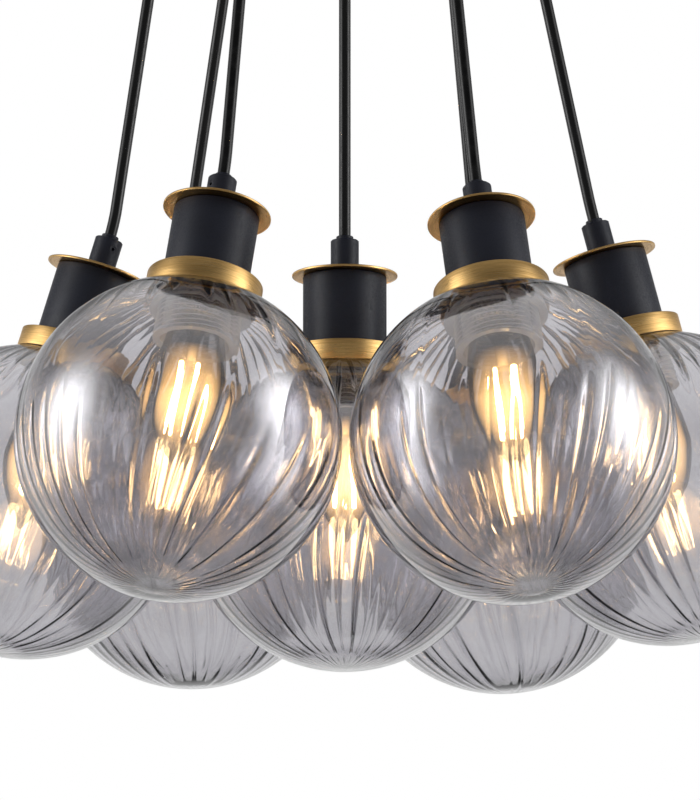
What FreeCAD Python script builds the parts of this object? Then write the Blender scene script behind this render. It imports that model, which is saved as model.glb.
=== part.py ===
import FreeCAD, Part
import Sketcher
import math
import os

# Cluster pendant: seven glass globe lamps on black cords. One hangs in the middle, six hang
# round it and lean on it. The origin is at the ceiling, in the middle of the mounting bar's
# top face, and everything hangs below it in -Z. Lengths are in millimetres.
#
# Each lamp is drawn upright about its own axis, with the globe's centre at its origin, and is
# then placed as it hangs in the cluster.

SIZES = [
    # glass globe
    ("GlobeRadius", 75.0, "outer radius of the glass"),
    ("GlobeWall", 2.4, "thickness of the glass"),
    ("NeckClearance", 0.9, "room between the hole in the glass and the skirt's thread"),
    # brass collar on the glass
    ("CollarOverhang", 7.0, "how far the collar stands out past the cup"),
    ("CollarHeight", 9.8, "height of the collar at its edge"),
    ("CollarStep", 1.5, "width of the collar's step over the skirt's shoulder"),
    ("GlassClearance", 0.15, "room between the collar or shade ring and the glass"),
    # black holder cup
    ("CupRoom", 1.0, "room between the lampholder and the cup's wall"),
    ("CupHeight", 35.2, "height of the holder cup"),
    ("CupWall", 1.2, "sheet thickness of the holder cup"),
    # brass disc on the cup
    ("DiscOverhang", 5.25, "how far the disc stands out past the cup"),
    ("DiscThickness", 1.2, "thickness of the disc"),
    ("DiscBevel", 0.3, "bevel of the disc's rim"),
    # cord grip on the disc
    ("GripWall", 1.65, "wall of the cord grip round the hollow thread"),
    ("GripHeight", 16.8, "height of the cord grip"),
    ("GripBevel", 0.5, "bevel of the cord grip's rims"),
    ("BushWall", 1.1, "wall of the bush on the cord grip"),
    ("BushHeight", 2.0, "height of the bush"),
    ("ScrewRadius", 1.75, "radius of the grub screw"),
    ("ScrewSink", 0.25, "how far the grub screw lies below the grip's side"),
    ("ScrewDepthBelowTop", 5.2, "distance of the grub screw's axis from the grip's top"),
    ("ScrewKeyRadius", 0.9, "radius of the hexagon socket in the grub screw"),
    ("ScrewKeyDepth", 1.4, "depth of the hexagon socket"),
    # cord
    ("CordRadius", 2.85, "radius of the cord"),
    ("CordClearance", 0.15, "room between the cord and the bores that hold it"),
    ("CordEndGap", 0.3, "room between the cord's end and the hollow thread"),
    # hollow thread that holds a lamp together
    ("NippleRadius", 5.0, "outer radius of the hollow thread"),
    ("NippleBoreRadius", 3.4, "bore radius of the hollow thread"),
    ("NippleGripReach", 8.0, "how far the hollow thread stands in the cord grip"),
    ("NippleHolderReach", 6.0, "how far the hollow thread stands in the lampholder"),
    ("NippleClearance", 0.1, "room round the hollow thread"),
    ("NutWidth", 14.0, "width of the hollow thread's nut across its flats"),
    ("NutHeight", 4.0, "height of the nut"),
    ("ThreadClearance", 0.05, "room between a small thread and what is screwed on or in it"),
    # lampholder
    ("SkirtRadius", 19.7, "radius of the skirt's thread at its crests"),
    ("ThreadDepth", 0.7, "depth of the skirt's thread"),
    ("ThreadPitch", 2.2, "pitch of the skirt's thread"),
    ("ThreadTurns", 10.0, "number of thread ridges on the skirt"),
    ("RimPitches", 0.6, "height of the skirt's plain rims in thread pitches"),
    ("SkirtWall", 3.5, "wall of the skirt at its thread's crests"),
    ("SkirtShoulderGap", 0.2, "room between the skirt's shoulder and the collar"),
    ("HolderStep", 1.9, "how much narrower the lampholder is in the cup than at its skirt"),
    ("HolderTopInset", 2.8, "how much narrower the lampholder is at its top"),
    ("HolderHeight", 31.0, "height of the lampholder above the skirt's shoulder"),
    ("HolderTaper", 3.0, "height of the taper at the lampholder's top"),
    ("ShellDepth", 13.6, "height of the screw shell's floor above the skirt's shoulder"),
    ("WireHoleRadius", 3.0, "radius of the wire hole in the lampholder's floor"),
    ("ShellRoom", 2.1, "room between the skirt's bore and the metal screw shell"),
    ("ShellWall", 0.6, "wall of the metal screw shell"),
    ("ShellLength", 22.5, "length of the metal screw shell"),
    ("ShadeRingWidth", 4.65, "width of the ring that clamps the glass"),
    ("ShadeRingHeight", 4.0, "height of the ring that clamps the glass"),
    ("ShadeRingClearance", 0.15, "room between the shade ring and the skirt's thread"),
    # bulb
    ("BulbRadius", 17.5, "largest radius of the candle bulb"),
    ("BulbLength", 73.5, "length of the bulb's glass from its tip to the cap"),
    ("BulbBellyHeight", 33.0, "height of the widest place above the tip"),
    ("BulbTipRadius", 2.2, "radius of the small round tip"),
    ("BulbTipHeight", 2.4, "height of the small round tip"),
    ("TipArcShare", 1.3, "radius of the tip's arc as a share of the tip's radius"),
    ("FlankArcShare", 1.55, "radius of the lower flank's arc as a share of the belly's height"),
    ("ShoulderArcShare", 4.3, "radius of the upper flank's arc as a share of its own height"),
    ("BulbNeckInset", 1.2, "how much narrower the glass is at the cap than the cap"),
    ("BulbWall", 0.8, "thickness of the bulb's glass"),
    ("CapClearance", 0.3, "room between the bulb's screw cap and the screw shell"),
    ("CapLength", 21.5, "length of the bulb's screw cap"),
    ("CapTaperHeight", 1.0, "height of the taper at the cap's end"),
    ("CapTopRadius", 9.0, "radius of the insulator at the cap's end"),
    ("CapTopHeight", 3.4, "height of the insulator and contact"),
    ("ContactRadius", 4.5, "radius of the end contact"),
    ("ContactHeight", 0.8, "height of the end contact"),
    ("ContactGap", 0.2, "room between the end contact and the shell's floor"),
    ("StemRadius", 3.0, "radius of the glass stem inside the bulb"),
    ("StemLength", 22.0, "length of the glass stem"),
    ("FilamentRadius", 1.0, "radius of a filament rod"),
    ("FilamentLength", 34.0, "length of a filament rod"),
    ("FilamentRingRadius", 6.2, "distance of the filament rods from the bulb's axis"),
    ("FilamentCount", 4.0, "number of filament rods"),
    ("HubThickness", 1.2, "thickness of the wire hubs that carry the rods"),
    # canopy at the ceiling
    ("CanopyRadius", 120.0, "outer radius of the canopy cover"),
    ("CanopyHeight", 28.0, "height of the canopy cover"),
    ("CanopyWall", 1.2, "sheet thickness of the canopy cover"),
    ("CanopyRound", 8.0, "outer rounding of the canopy cover's lower edge"),
    # cord glands in the canopy
    ("CordRingShare", 0.75, "distance of the six outer cords from the middle, in canopy radii"),
    ("GlandRadius", 8.5, "outer radius of a gland below the canopy"),
    ("GlandHeight", 12.0, "height of a gland below the canopy"),
    ("GlandThreadRadius", 5.0, "radius of a gland's thread"),
    ("GlandThreadLength", 8.0, "length of a gland's thread above the canopy's sheet"),
    ("GlandNutWidth", 14.0, "width of a gland's nut across its flats"),
    ("GlandNutHeight", 3.5, "height of a gland's nut"),
    ("GlandBevel", 1.0, "bevel of a gland's lower rim"),
    ("PivotHeight", 3.0, "height of the cord's bending point above the gland's mouth"),
    ("SwingRoom", 0.3, "room between the swinging cord and its gland"),
    ("SwingLimit", 40.0, "largest outward swing in degrees"),
    ("MouthMargin", 2.0, "how many degrees wider than the swing the gland's mouth opens"),
    ("TailLength", 8.0, "length of cord left standing above a gland"),
    # mounting bar and its studs
    ("BarLength", 140.0, "length of the mounting bar"),
    ("BarWidth", 18.0, "width of the mounting bar"),
    ("BarThickness", 2.0, "thickness of the mounting bar"),
    ("SlotSpacing", 84.0, "distance between the middles of the two ceiling slots"),
    ("SlotLength", 20.0, "length of a ceiling slot from end to end"),
    ("SlotRadius", 2.4, "half width of a ceiling slot"),
    ("StudSpacing", 120.0, "distance between the two canopy studs"),
    ("StudRadius", 2.0, "radius of a canopy stud"),
    ("StudClearance", 0.3, "room round a canopy stud in the cover"),
    ("CapNutWidth", 8.0, "width of a cap nut across its flats"),
    ("CapNutHeight", 4.0, "height of a cap nut's hexagon"),
    ("CapNutDomeRadius", 3.6, "radius of a cap nut's dome"),
    ("CapNutHoleDepth", 5.5, "depth of the hole in a cap nut"),
    ("StudEndGap", 0.5, "room between a stud's end and the bottom of its cap nut's hole"),
    # terminal block on the canopy's floor
    ("BlockLength", 36.0, "length of the terminal block"),
    ("BlockWidth", 18.0, "width of the terminal block"),
    ("BlockHeight", 14.0, "height of the terminal block"),
    ("BlockOffset", 46.0, "distance of the terminal block from the middle"),
    ("BlockWays", 3.0, "number of wire ways through the terminal block"),
    ("BlockWayRadius", 2.0, "radius of a wire way"),
    # how the lamps hang
    ("GlobeDrop", 338.0, "distance from the ceiling down to the middle globe's centre"),
    ("ExitRun", 14.0, "straight stretch of cord below its bending point"),
    ("GripRun", 14.0, "straight stretch of cord above the bush"),
]

# How each lamp hangs: azimuth of its globe about the middle (degrees), level room between the
# globe and the middle one, height over the middle globe, lean of the lamp's axis towards the
# middle (degrees), turn of that lean away from the straight way in (degrees), spin of the lamp
# about its own axis, which points its grub screw (degrees). The bulb is screwed in until it
# stops, so it has no spin.
HANGS = {
    "centre": (0.0, 0.0, 0.0, 0.0, 0.0, 100.0),
    "right": (0.0, 3.0, 12.5, 14.4, -1.5, 60.0),
    "back_right": (59.5, 2.0, 9.5, 15.0, 12.0, 20.0),
    "back_left": (120.0, 2.0, 12.0, 16.5, -34.0, 150.0),
    "left": (180.0, 0.8, 6.0, 16.6, 0.0, -57.0),
    "front_left": (240.0, 1.6, 11.0, 15.4, -3.0, 222.0),
    "front_right": (300.5, 1.6, 10.0, 17.0, -7.0, 80.0),
}

# The azimuth of each outer lamp's gland in the canopy.
GLAND_AZIMUTHS = {
    "right": 0.0,
    "back_right": 54.0,
    "back_left": 130.0,
    "left": 180.0,
    "front_left": 240.0,
    "front_right": 302.0,
}

# share of its shorter run that an arc of a cord's bend takes
ARC_SHARE = 0.45
# how far a cut runs past the face that it starts from
PAST = 1.0
# lengths and shares of volume below these count as none
EDGE_SLACK = 0.01
VOLUME_SLACK = 0.01
# places kept of a direction's sine and cosine
DIGITS = 9


# ---------------------------------------------------------------- sizes and sketches


class Size:
    """A length that holds its number and the spreadsheet expression that gives it."""

    def __init__(self, number, text):
        self.number = float(number)
        self.text = text

    def __add__(self, other):
        other = as_size(other)
        return Size(self.number + other.number, f"({self.text} + {other.text})")

    def __sub__(self, other):
        other = as_size(other)
        return Size(self.number - other.number, f"({self.text} - {other.text})")

    def __mul__(self, other):
        other = as_size(other)
        return Size(self.number * other.number, f"({self.text} * {other.text})")

    def __truediv__(self, other):
        other = as_size(other)
        return Size(self.number / other.number, f"({self.text} / {other.text})")

    def __neg__(self):
        return Size(-self.number, f"(-1 * {self.text})")


def as_size(value):
    """Give a plain number as a Size, and a Size as it is."""
    if isinstance(value, Size):
        return value
    return Size(value, f"({value})")


def leg(hypotenuse, other_leg):
    """Give the second leg of a right triangle, such as a sphere's height at a radius."""
    squared = hypotenuse * hypotenuse - other_leg * other_leg
    return Size(math.sqrt(squared.number), f"sqrt({squared.text})")


def fill_sheet(sheet):
    """Write the driving dimensions into the sheet, one alias a row."""
    for row, (name, number, words) in enumerate(SIZES, start=1):
        sheet.set(f"A{row}", words)
        sheet.set(f"B{row}", str(number))
        sheet.setAlias(f"B{row}", name)


doc = FreeCAD.newDocument("ClusterPendant")
sheet = doc.addObject("Spreadsheet::Sheet", "Sizes")
fill_sheet(sheet)
doc.recompute()


def size(name):
    """Give a driving dimension by its name."""
    return Size(sheet.get(name), f"Sizes.{name}")


def origin_plane(body, role):
    """Find one of a body's own origin planes."""
    for feature in body.Origin.OriginFeatures:
        if feature.Role == role:
            return feature
    raise RuntimeError(f"{body.Label} has no plane {role}")


def new_sketch(body, role, name):
    """Add a sketch on one of the body's origin planes."""
    sketch = body.newObject("Sketcher::SketchObject", name)
    sketch.AttachmentSupport = [(origin_plane(body, role), "")]
    sketch.MapMode = "FlatFace"
    return sketch


def arc_between(start, end, radius, counterclockwise):
    """Make the short arc of a given radius from start to end, as sketch geometry."""
    middle = (start + end) * 0.5
    chord = end - start
    height = math.sqrt(max(radius**2 - (chord.Length / 2) ** 2, 0.0))
    side = FreeCAD.Vector(-chord.y, chord.x, 0).normalize()
    centre = middle + side * (height if counterclockwise else -height)
    first, last = (start, end) if counterclockwise else (end, start)
    from_angle = math.atan2(first.y - centre.y, first.x - centre.x)
    to_angle = math.atan2(last.y - centre.y, last.x - centre.x)
    if to_angle <= from_angle:
        to_angle += 2 * math.pi
    circle = Part.Circle(centre, FreeCAD.Vector(0, 0, 1), radius)
    return Part.ArcOfCircle(circle, from_angle, to_angle)


def hold_across(sketch, geometry, position, across):
    """Tie a point's distance from the upright axis to the sheet."""
    hold_coordinate(sketch, geometry, position, "DistanceX", -2, across)


def hold_up(sketch, geometry, position, up):
    """Tie a point's height over the level axis to the sheet."""
    hold_coordinate(sketch, geometry, position, "DistanceY", -1, up)


def hold_coordinate(sketch, geometry, position, kind, axis, coordinate):
    """Tie one coordinate of a point to the sheet, or lay the point on the axis."""
    if abs(coordinate.number) < EDGE_SLACK:
        sketch.addConstraint(Sketcher.Constraint("PointOnObject", geometry, position, axis))
        return
    values = (kind, -1, 1, geometry, position, coordinate.number)
    index = sketch.addConstraint(Sketcher.Constraint(*values))
    sketch.setExpression(f"Constraints[{index}]", coordinate.text)


def hold_arc(sketch, geometry, start, end):
    """Tie an arc's radius to the sheet, or the middle of an upright one that is a half circle."""
    radius = end[2]
    chord = math.hypot(end[0].number - start[0].number, end[1].number - start[1].number)
    if abs(chord - 2 * radius.number) < EDGE_SLACK:
        hold_across(sketch, geometry, 3, start[0])
        return
    index = sketch.addConstraint(Sketcher.Constraint("Radius", geometry, radius.number))
    sketch.setExpression(f"Constraints[{index}]", radius.text)


def draw_outline(sketch, outline):
    """Draw a closed outline. Each corner is (across, up), or (across, up, radius, turn) where
    an arc leads to it from the corner before, with turn True for counterclockwise."""
    corners = [FreeCAD.Vector(c[0].number, c[1].number, 0) for c in outline]
    ends = []
    for i, corner in enumerate(outline):
        start, end = corners[i - 1], corners[i]
        if len(corner) == 2:
            index = sketch.addGeometry(Part.LineSegment(start, end), False)
            ends.append((index, 1, 2))
            continue
        radius, counterclockwise = corner[2], corner[3]
        arc = arc_between(start, end, radius.number, counterclockwise)
        index = sketch.addGeometry(arc, False)
        ends.append((index, 1, 2) if counterclockwise else (index, 2, 1))
    for i, corner in enumerate(outline):
        index, last = ends[i][0], ends[i][2]
        following, first = ends[(i + 1) % len(outline)][:2]
        sketch.addConstraint(Sketcher.Constraint("Coincident", index, last, following, first))
        hold_across(sketch, index, last, corner[0])
        hold_up(sketch, index, last, corner[1])
        if len(corner) == 4:
            hold_arc(sketch, index, outline[i - 1], corner)


def turned_body(name, outline):
    """Turn a closed outline of (radius, height) corners about the Z axis."""
    body = doc.addObject("PartDesign::Body", name)
    sketch = new_sketch(body, "XZ_Plane", f"{name}_outline")
    draw_outline(sketch, outline)
    turning = body.newObject("PartDesign::Revolution", f"{name}_turned")
    turning.Profile = sketch
    turning.ReferenceAxis = (sketch, ["V_Axis"])
    turning.Angle = 360.0
    sketch.Visibility = False
    doc.recompute()
    return body


def cut_holes(body, name, circles, depth):
    """Cut round holes through a body along Z, both ways from the XY plane."""
    before = body.Shape.Volume
    sketch = new_sketch(body, "XY_Plane", f"{name}_circles")
    for across, up, radius in circles:
        centre = FreeCAD.Vector(across.number, up.number, 0)
        circle = Part.Circle(centre, FreeCAD.Vector(0, 0, 1), radius.number)
        index = sketch.addGeometry(circle, False)
        hold_across(sketch, index, 3, across)
        hold_up(sketch, index, 3, up)
        held = sketch.addConstraint(Sketcher.Constraint("Radius", index, radius.number))
        sketch.setExpression(f"Constraints[{held}]", radius.text)
    pocket = body.newObject("PartDesign::Pocket", name)
    pocket.Profile = sketch
    pocket.Midplane = True
    pocket.setExpression("Length", depth.text)
    doc.recompute()
    if not body.Shape.Volume < before:
        raise RuntimeError(f"{name} cut nothing")


def hexagon(name, width, height, base, bore):
    """Make a hexagon nut on the Z axis from its width across flats, with a round bore."""
    prism = doc.addObject("Part::Prism", f"{name}_prism")
    prism.Polygon = 6
    prism.setExpression("Circumradius", (width / math.sqrt(3.0)).text)
    prism.setExpression("Height", height.text)
    prism.setExpression("Placement.Base.z", base.text)
    hole = cylinder(f"{name}_bore", bore, height + 2.0 * PAST, base - PAST)
    return difference(name, prism, hole)


def cylinder(name, radius, height, base):
    """Make a plain cylinder on the Z axis."""
    made = doc.addObject("Part::Cylinder", name)
    made.setExpression("Radius", radius.text)
    made.setExpression("Height", height.text)
    made.setExpression("Placement.Base.z", base.text)
    return made


def difference(name, base, tool):
    """Cut one object from another."""
    made = doc.addObject("Part::Cut", name)
    made.Base = base
    made.Tool = tool
    return made


# ---------------------------------------------------------------- radii of a lamp's pieces

neck_hole = size("SkirtRadius") + size("NeckClearance")
skirt_bore = size("SkirtRadius") - size("SkirtWall")
holder_radius = size("SkirtRadius") - size("HolderStep")
collar_bore = size("SkirtRadius") - size("CollarStep")
cup_radius = holder_radius + size("CupRoom") + size("CupWall")
collar_radius = cup_radius + size("CollarOverhang")
disc_radius = cup_radius + size("DiscOverhang")
shell_radius = skirt_bore - size("ShellRoom")
cap_radius = shell_radius - size("ShellWall") - size("CapClearance")
nipple_hole = size("NippleRadius") + size("NippleClearance")
grip_radius = nipple_hole + size("GripWall")
cord_bore = size("CordRadius") + size("CordClearance")
bush_radius = cord_bore + size("BushWall")
cord_ring = size("CanopyRadius") * size("CordRingShare")

# ---------------------------------------------------------------- heights on a lamp's axis

glass_inside = size("GlobeRadius") - size("GlobeWall")
collar_seat = size("GlobeRadius") + size("GlassClearance")
collar_base = leg(collar_seat, collar_radius)
collar_top = collar_base + size("CollarHeight")
cup_top = collar_top + size("CupHeight")
disc_top = cup_top + size("DiscThickness")
grip_top = disc_top + size("GripHeight")
bush_top = grip_top + size("BushHeight")
shoulder = leg(collar_seat, size("SkirtRadius")) - size("SkirtShoulderGap")
skirt_base = shoulder - size("ThreadPitch") * (size("ThreadTurns") + 1.0)
holder_top = shoulder + size("HolderHeight")
shell_floor = shoulder + size("ShellDepth")
nipple_top = disc_top + size("NippleGripReach")
nipple_base = holder_top - size("NippleHolderReach")
contact_top = shell_floor - size("ContactGap")
cap_end = contact_top - size("CapTopHeight") - size("ContactHeight")
cap_base = cap_end - size("CapLength")
bulb_tip = cap_base - size("BulbLength")
ZERO = as_size(0.0)


# ---------------------------------------------------------------- the pieces of a lamp


def globe():
    """Blown glass globe, open at the top for the lampholder's skirt."""
    outer = size("GlobeRadius")
    outline = [
        (neck_hole, leg(outer, neck_hole)),
        (outer, ZERO, outer, False),
        (ZERO, -outer, outer, False),
        (ZERO, -glass_inside),
        (glass_inside, ZERO, glass_inside, True),
        (neck_hole, leg(glass_inside, neck_hole), glass_inside, True),
    ]
    return turned_body("Globe", outline)


def collar():
    """Brass ring whose hollowed underside sits on the globe."""
    edge = size("DiscBevel")
    outline = [
        (collar_bore, leg(collar_seat, collar_bore)),
        (collar_radius, collar_base, collar_seat, False),
        (collar_radius, collar_top - edge),
        (collar_radius - edge, collar_top),
        (collar_bore, collar_top),
    ]
    return turned_body("Collar", outline)


def holder_cup():
    """Drawn metal cup, open below, that hides the lampholder."""
    inner = cup_radius - size("CupWall")
    edge = size("GripBevel")
    outline = [
        (inner, collar_top),
        (cup_radius, collar_top),
        (cup_radius, cup_top - edge),
        (cup_radius - edge, cup_top),
        (nipple_hole, cup_top),
        (nipple_hole, cup_top - size("CupWall")),
        (inner, cup_top - size("CupWall")),
    ]
    return turned_body("HolderCup", outline)


def disc():
    """Thin brass washer, wider than the cup, with a bevelled rim."""
    edge = size("DiscBevel")
    outline = [
        (nipple_hole, cup_top),
        (disc_radius - edge, cup_top),
        (disc_radius, cup_top + edge),
        (disc_radius, disc_top - edge),
        (disc_radius - edge, disc_top),
        (nipple_hole, disc_top),
    ]
    return turned_body("Disc", outline)


def grip_body():
    """Turned cord grip, with the hollow thread's seat below and the cord's bore above."""
    edge = size("GripBevel")
    outline = [
        (nipple_hole, disc_top),
        (grip_radius, disc_top),
        (grip_radius, grip_top - edge),
        (grip_radius - edge, grip_top),
        (cord_bore, grip_top),
        (cord_bore, nipple_top),
        (nipple_hole, nipple_top),
    ]
    return turned_body("Grip", outline)


def across_grip(name, radius, length, inner_end, kind="Part::Cylinder"):
    """Make a cylinder or hexagon prism that lies across the grip on the grub screw's axis."""
    made = doc.addObject(kind, name)
    if kind == "Part::Cylinder":
        made.setExpression("Radius", radius.text)
    else:
        made.Polygon = 6
        made.setExpression("Circumradius", radius.text)
    made.setExpression("Height", length.text)
    made.Placement.Rotation = FreeCAD.Rotation(FreeCAD.Vector(0, 1, 0), 90)
    made.setExpression("Placement.Base.x", inner_end.text)
    made.setExpression("Placement.Base.z", (grip_top - size("ScrewDepthBelowTop")).text)
    return made


def cord_grip():
    """Cord grip, its grub screw and the bush that the cord comes out of."""
    screw = size("ScrewRadius")
    hole_radius = screw + size("ThreadClearance")
    hole_length = grip_radius - size("CordRadius") + PAST
    screw_hole = across_grip("ScrewHole", hole_radius, hole_length, size("CordRadius"))
    grip = difference("GripBored", grip_body(), screw_hole)
    shank_end = grip_radius - size("ScrewSink")
    shank = across_grip("ScrewShank", screw, shank_end - cord_bore, cord_bore)
    key_start = shank_end - size("ScrewKeyDepth")
    key_length = size("ScrewKeyDepth") + PAST
    key = across_grip("ScrewKey", size("ScrewKeyRadius"), key_length, key_start, "Part::Prism")
    screw_solid = difference("GrubScrew", shank, key)
    edge = size("DiscBevel")
    outline = [
        (cord_bore, grip_top),
        (bush_radius, grip_top),
        (bush_radius, bush_top - edge),
        (bush_radius - edge, bush_top),
        (cord_bore, bush_top),
    ]
    return [grip, screw_solid, turned_body("Bush", outline)]


def thread_corners(crest, root, pitch, turns, base):
    """Zigzag outline of a thread's ridges, from the base upwards."""
    corners = []
    for turn in range(turns):
        corners.append((crest, base + pitch * (turn + 0.5)))
        corners.append((root, base + pitch * (turn + 1.0)))
    return corners


def lampholder_body():
    """Moulded lampholder with its threaded skirt below and its closed top in the cup."""
    crest = size("SkirtRadius")
    root = crest - size("ThreadDepth")
    pitch = size("ThreadPitch")
    rim_height = pitch * size("RimPitches")
    outline = [
        (skirt_bore, skirt_base),
        (crest, skirt_base),
        (crest, skirt_base + rim_height),
        (root, skirt_base + pitch),
    ]
    turns = int(size("ThreadTurns").number) - 1
    outline += thread_corners(crest, root, pitch, turns, skirt_base + pitch)
    outline += [
        (crest, shoulder - rim_height),
        (crest, shoulder),
        (holder_radius, shoulder),
        (holder_radius, holder_top - size("HolderTaper")),
        (holder_radius - size("HolderTopInset"), holder_top),
        (nipple_hole, holder_top),
        (nipple_hole, nipple_base),
        (size("WireHoleRadius"), nipple_base),
        (size("WireHoleRadius"), shell_floor),
        (skirt_bore, shell_floor),
    ]
    return turned_body("HolderBody", outline)


def tube(name, outer, inner, base, top):
    """Make a plain tube on the Z axis."""
    solid = cylinder(f"{name}_outside", outer, top - base, base)
    hole = cylinder(f"{name}_inside", inner, top - base + 2.0 * PAST, base - PAST)
    return difference(name, solid, hole)


def lampholder():
    """Lampholder with its screw shell, shade ring, hollow thread and the thread's nut."""
    shell_inside = shell_radius - size("ShellWall")
    shell_base = shell_floor - size("ShellLength")
    shell_tube = tube("ScrewShell", shell_radius, shell_inside, shell_base, shell_floor)
    ring_bore = size("SkirtRadius") + size("ShadeRingClearance")
    ring = ring_bore + size("ShadeRingWidth")
    ring_top = leg(glass_inside - size("GlassClearance"), ring)
    shade_ring = tube("ShadeRing", ring, ring_bore, ring_top - size("ShadeRingHeight"), ring_top)
    nipple = tube("Nipple", size("NippleRadius"), size("NippleBoreRadius"), nipple_base, nipple_top)
    nut_base = cup_top - size("CupWall") - size("NutHeight")
    nut = hexagon("NippleNut", size("NutWidth"), size("NutHeight"), nut_base, nipple_hole)
    return [lampholder_body(), shell_tube, shade_ring, nipple, nut]


def bulb_outline(wall):
    """Half outline of the candle bulb's glass, drawn in by a wall from the outside."""
    tip = bulb_tip + wall
    belly = size("BulbRadius") - wall
    small = size("BulbTipRadius") - wall * 0.5
    neck = cap_radius - size("BulbNeckInset") - wall
    belly_height = bulb_tip + size("BulbBellyHeight")
    tip_arc = small * size("TipArcShare")
    flank = size("BulbBellyHeight") * size("FlankArcShare")
    upper = (cap_base - belly_height) * size("ShoulderArcShare")
    return [
        (ZERO, tip),
        (small, bulb_tip + size("BulbTipHeight") + wall, tip_arc, True),
        (belly, belly_height, flank, True),
        (neck, cap_base, upper, True),
        (ZERO, cap_base),
    ]


def bulb():
    """Candle bulb: hollow glass, stem, filament rods between two hubs, and screw cap."""
    outside = turned_body("BulbOutside", bulb_outline(ZERO))
    inside = turned_body("BulbInside", bulb_outline(size("BulbWall")))
    glass = difference("BulbGlass", outside, inside)
    outline = [
        (ZERO, cap_base),
        (cap_radius, cap_base),
        (cap_radius, cap_end),
        (size("CapTopRadius"), cap_end + size("CapTaperHeight")),
        (size("ContactRadius"), contact_top - size("ContactHeight")),
        (size("ContactRadius"), contact_top),
        (ZERO, contact_top),
    ]
    screw_cap = turned_body("BulbCap", outline)
    stem_end = cap_base - size("StemLength")
    hub = size("FilamentRingRadius") + size("FilamentRadius")
    hub_base = stem_end - size("HubThickness")
    upper_hub = cylinder("UpperHub", hub, size("HubThickness"), hub_base)
    lower_base = hub_base - size("FilamentLength") - size("HubThickness")
    lower_hub = cylinder("LowerHub", hub, size("HubThickness"), lower_base)
    stem = cylinder("Stem", size("StemRadius"), size("StemLength"), stem_end)
    pieces = [glass, screw_cap, stem, upper_hub, lower_hub]
    count = int(size("FilamentCount").number)
    for i in range(count):
        rod_base = hub_base - size("FilamentLength")
        rod = cylinder(f"Filament{i}", size("FilamentRadius"), size("FilamentLength"), rod_base)
        turn = math.radians(360.0 / count * (i + 0.5))
        rod.setExpression("Placement.Base.x", (size("FilamentRingRadius") * math.cos(turn)).text)
        rod.setExpression("Placement.Base.y", (size("FilamentRingRadius") * math.sin(turn)).text)
        pieces.append(rod)
    return pieces


# ---------------------------------------------------------------- the canopy

canopy_floor = -size("CanopyHeight")
canopy_sheet_top = canopy_floor + size("CanopyWall")
gland_mouth = canopy_floor - size("GlandHeight")
pivot_height = gland_mouth + size("PivotHeight")


def gland_places():
    """Give the place of each gland: the middle one, then the six on the ring."""
    places = [(ZERO, ZERO)]
    for azimuth in GLAND_AZIMUTHS.values():
        turn = math.radians(azimuth)
        across = cord_ring * round(math.cos(turn), DIGITS)
        up = cord_ring * round(math.sin(turn), DIGITS)
        places.append((across, up))
    return places


def canopy_cover():
    """Shallow spun cup that covers the ceiling box, bored for the glands and studs."""
    rim = size("CanopyRadius")
    wall = size("CanopyWall")
    corner = size("CanopyRound")
    outline = [
        (rim - wall, ZERO),
        (rim - wall, canopy_floor + corner),
        (rim - corner, canopy_sheet_top, corner - wall, False),
        (ZERO, canopy_sheet_top),
        (ZERO, canopy_floor),
        (rim - corner, canopy_floor),
        (rim, canopy_floor + corner, corner, True),
        (rim, ZERO),
    ]
    body = turned_body("Canopy", outline)
    gland_hole = size("GlandThreadRadius") + size("NippleClearance")
    stud_hole = size("StudRadius") + size("StudClearance")
    circles = [(across, up, gland_hole) for across, up in gland_places()]
    circles += [(size("StudSpacing") * side, ZERO, stud_hole) for side in (-0.5, 0.5)]
    cut_holes(body, "CanopyHoles", circles, (size("CanopyHeight") + PAST) * 2.0)
    return body


def cap_nut(name, across):
    """Hexagon cap nut with a dome, below the canopy on a stud."""
    width = size("CapNutWidth") / math.sqrt(3.0)
    prism = doc.addObject("Part::Prism", f"{name}_prism")
    prism.Polygon = 6
    prism.setExpression("Circumradius", width.text)
    prism.setExpression("Height", size("CapNutHeight").text)
    prism.setExpression("Placement.Base.z", (canopy_floor - size("CapNutHeight")).text)
    dome = doc.addObject("Part::Sphere", f"{name}_dome")
    dome.setExpression("Radius", size("CapNutDomeRadius").text)
    dome.Angle1 = -90.0
    dome.Angle2 = 0.0
    dome.setExpression("Placement.Base.z", (canopy_floor - size("CapNutHeight")).text)
    joined = doc.addObject("Part::Fuse", f"{name}_joined")
    joined.Base = prism
    joined.Tool = dome
    depth = size("CapNutHoleDepth")
    bore = size("StudRadius") + size("ThreadClearance")
    hole = cylinder(f"{name}_hole", bore, depth + PAST, canopy_floor - depth)
    nut = difference(name, joined, hole)
    nut.setExpression("Placement.Base.x", across.text)
    return nut


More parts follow.
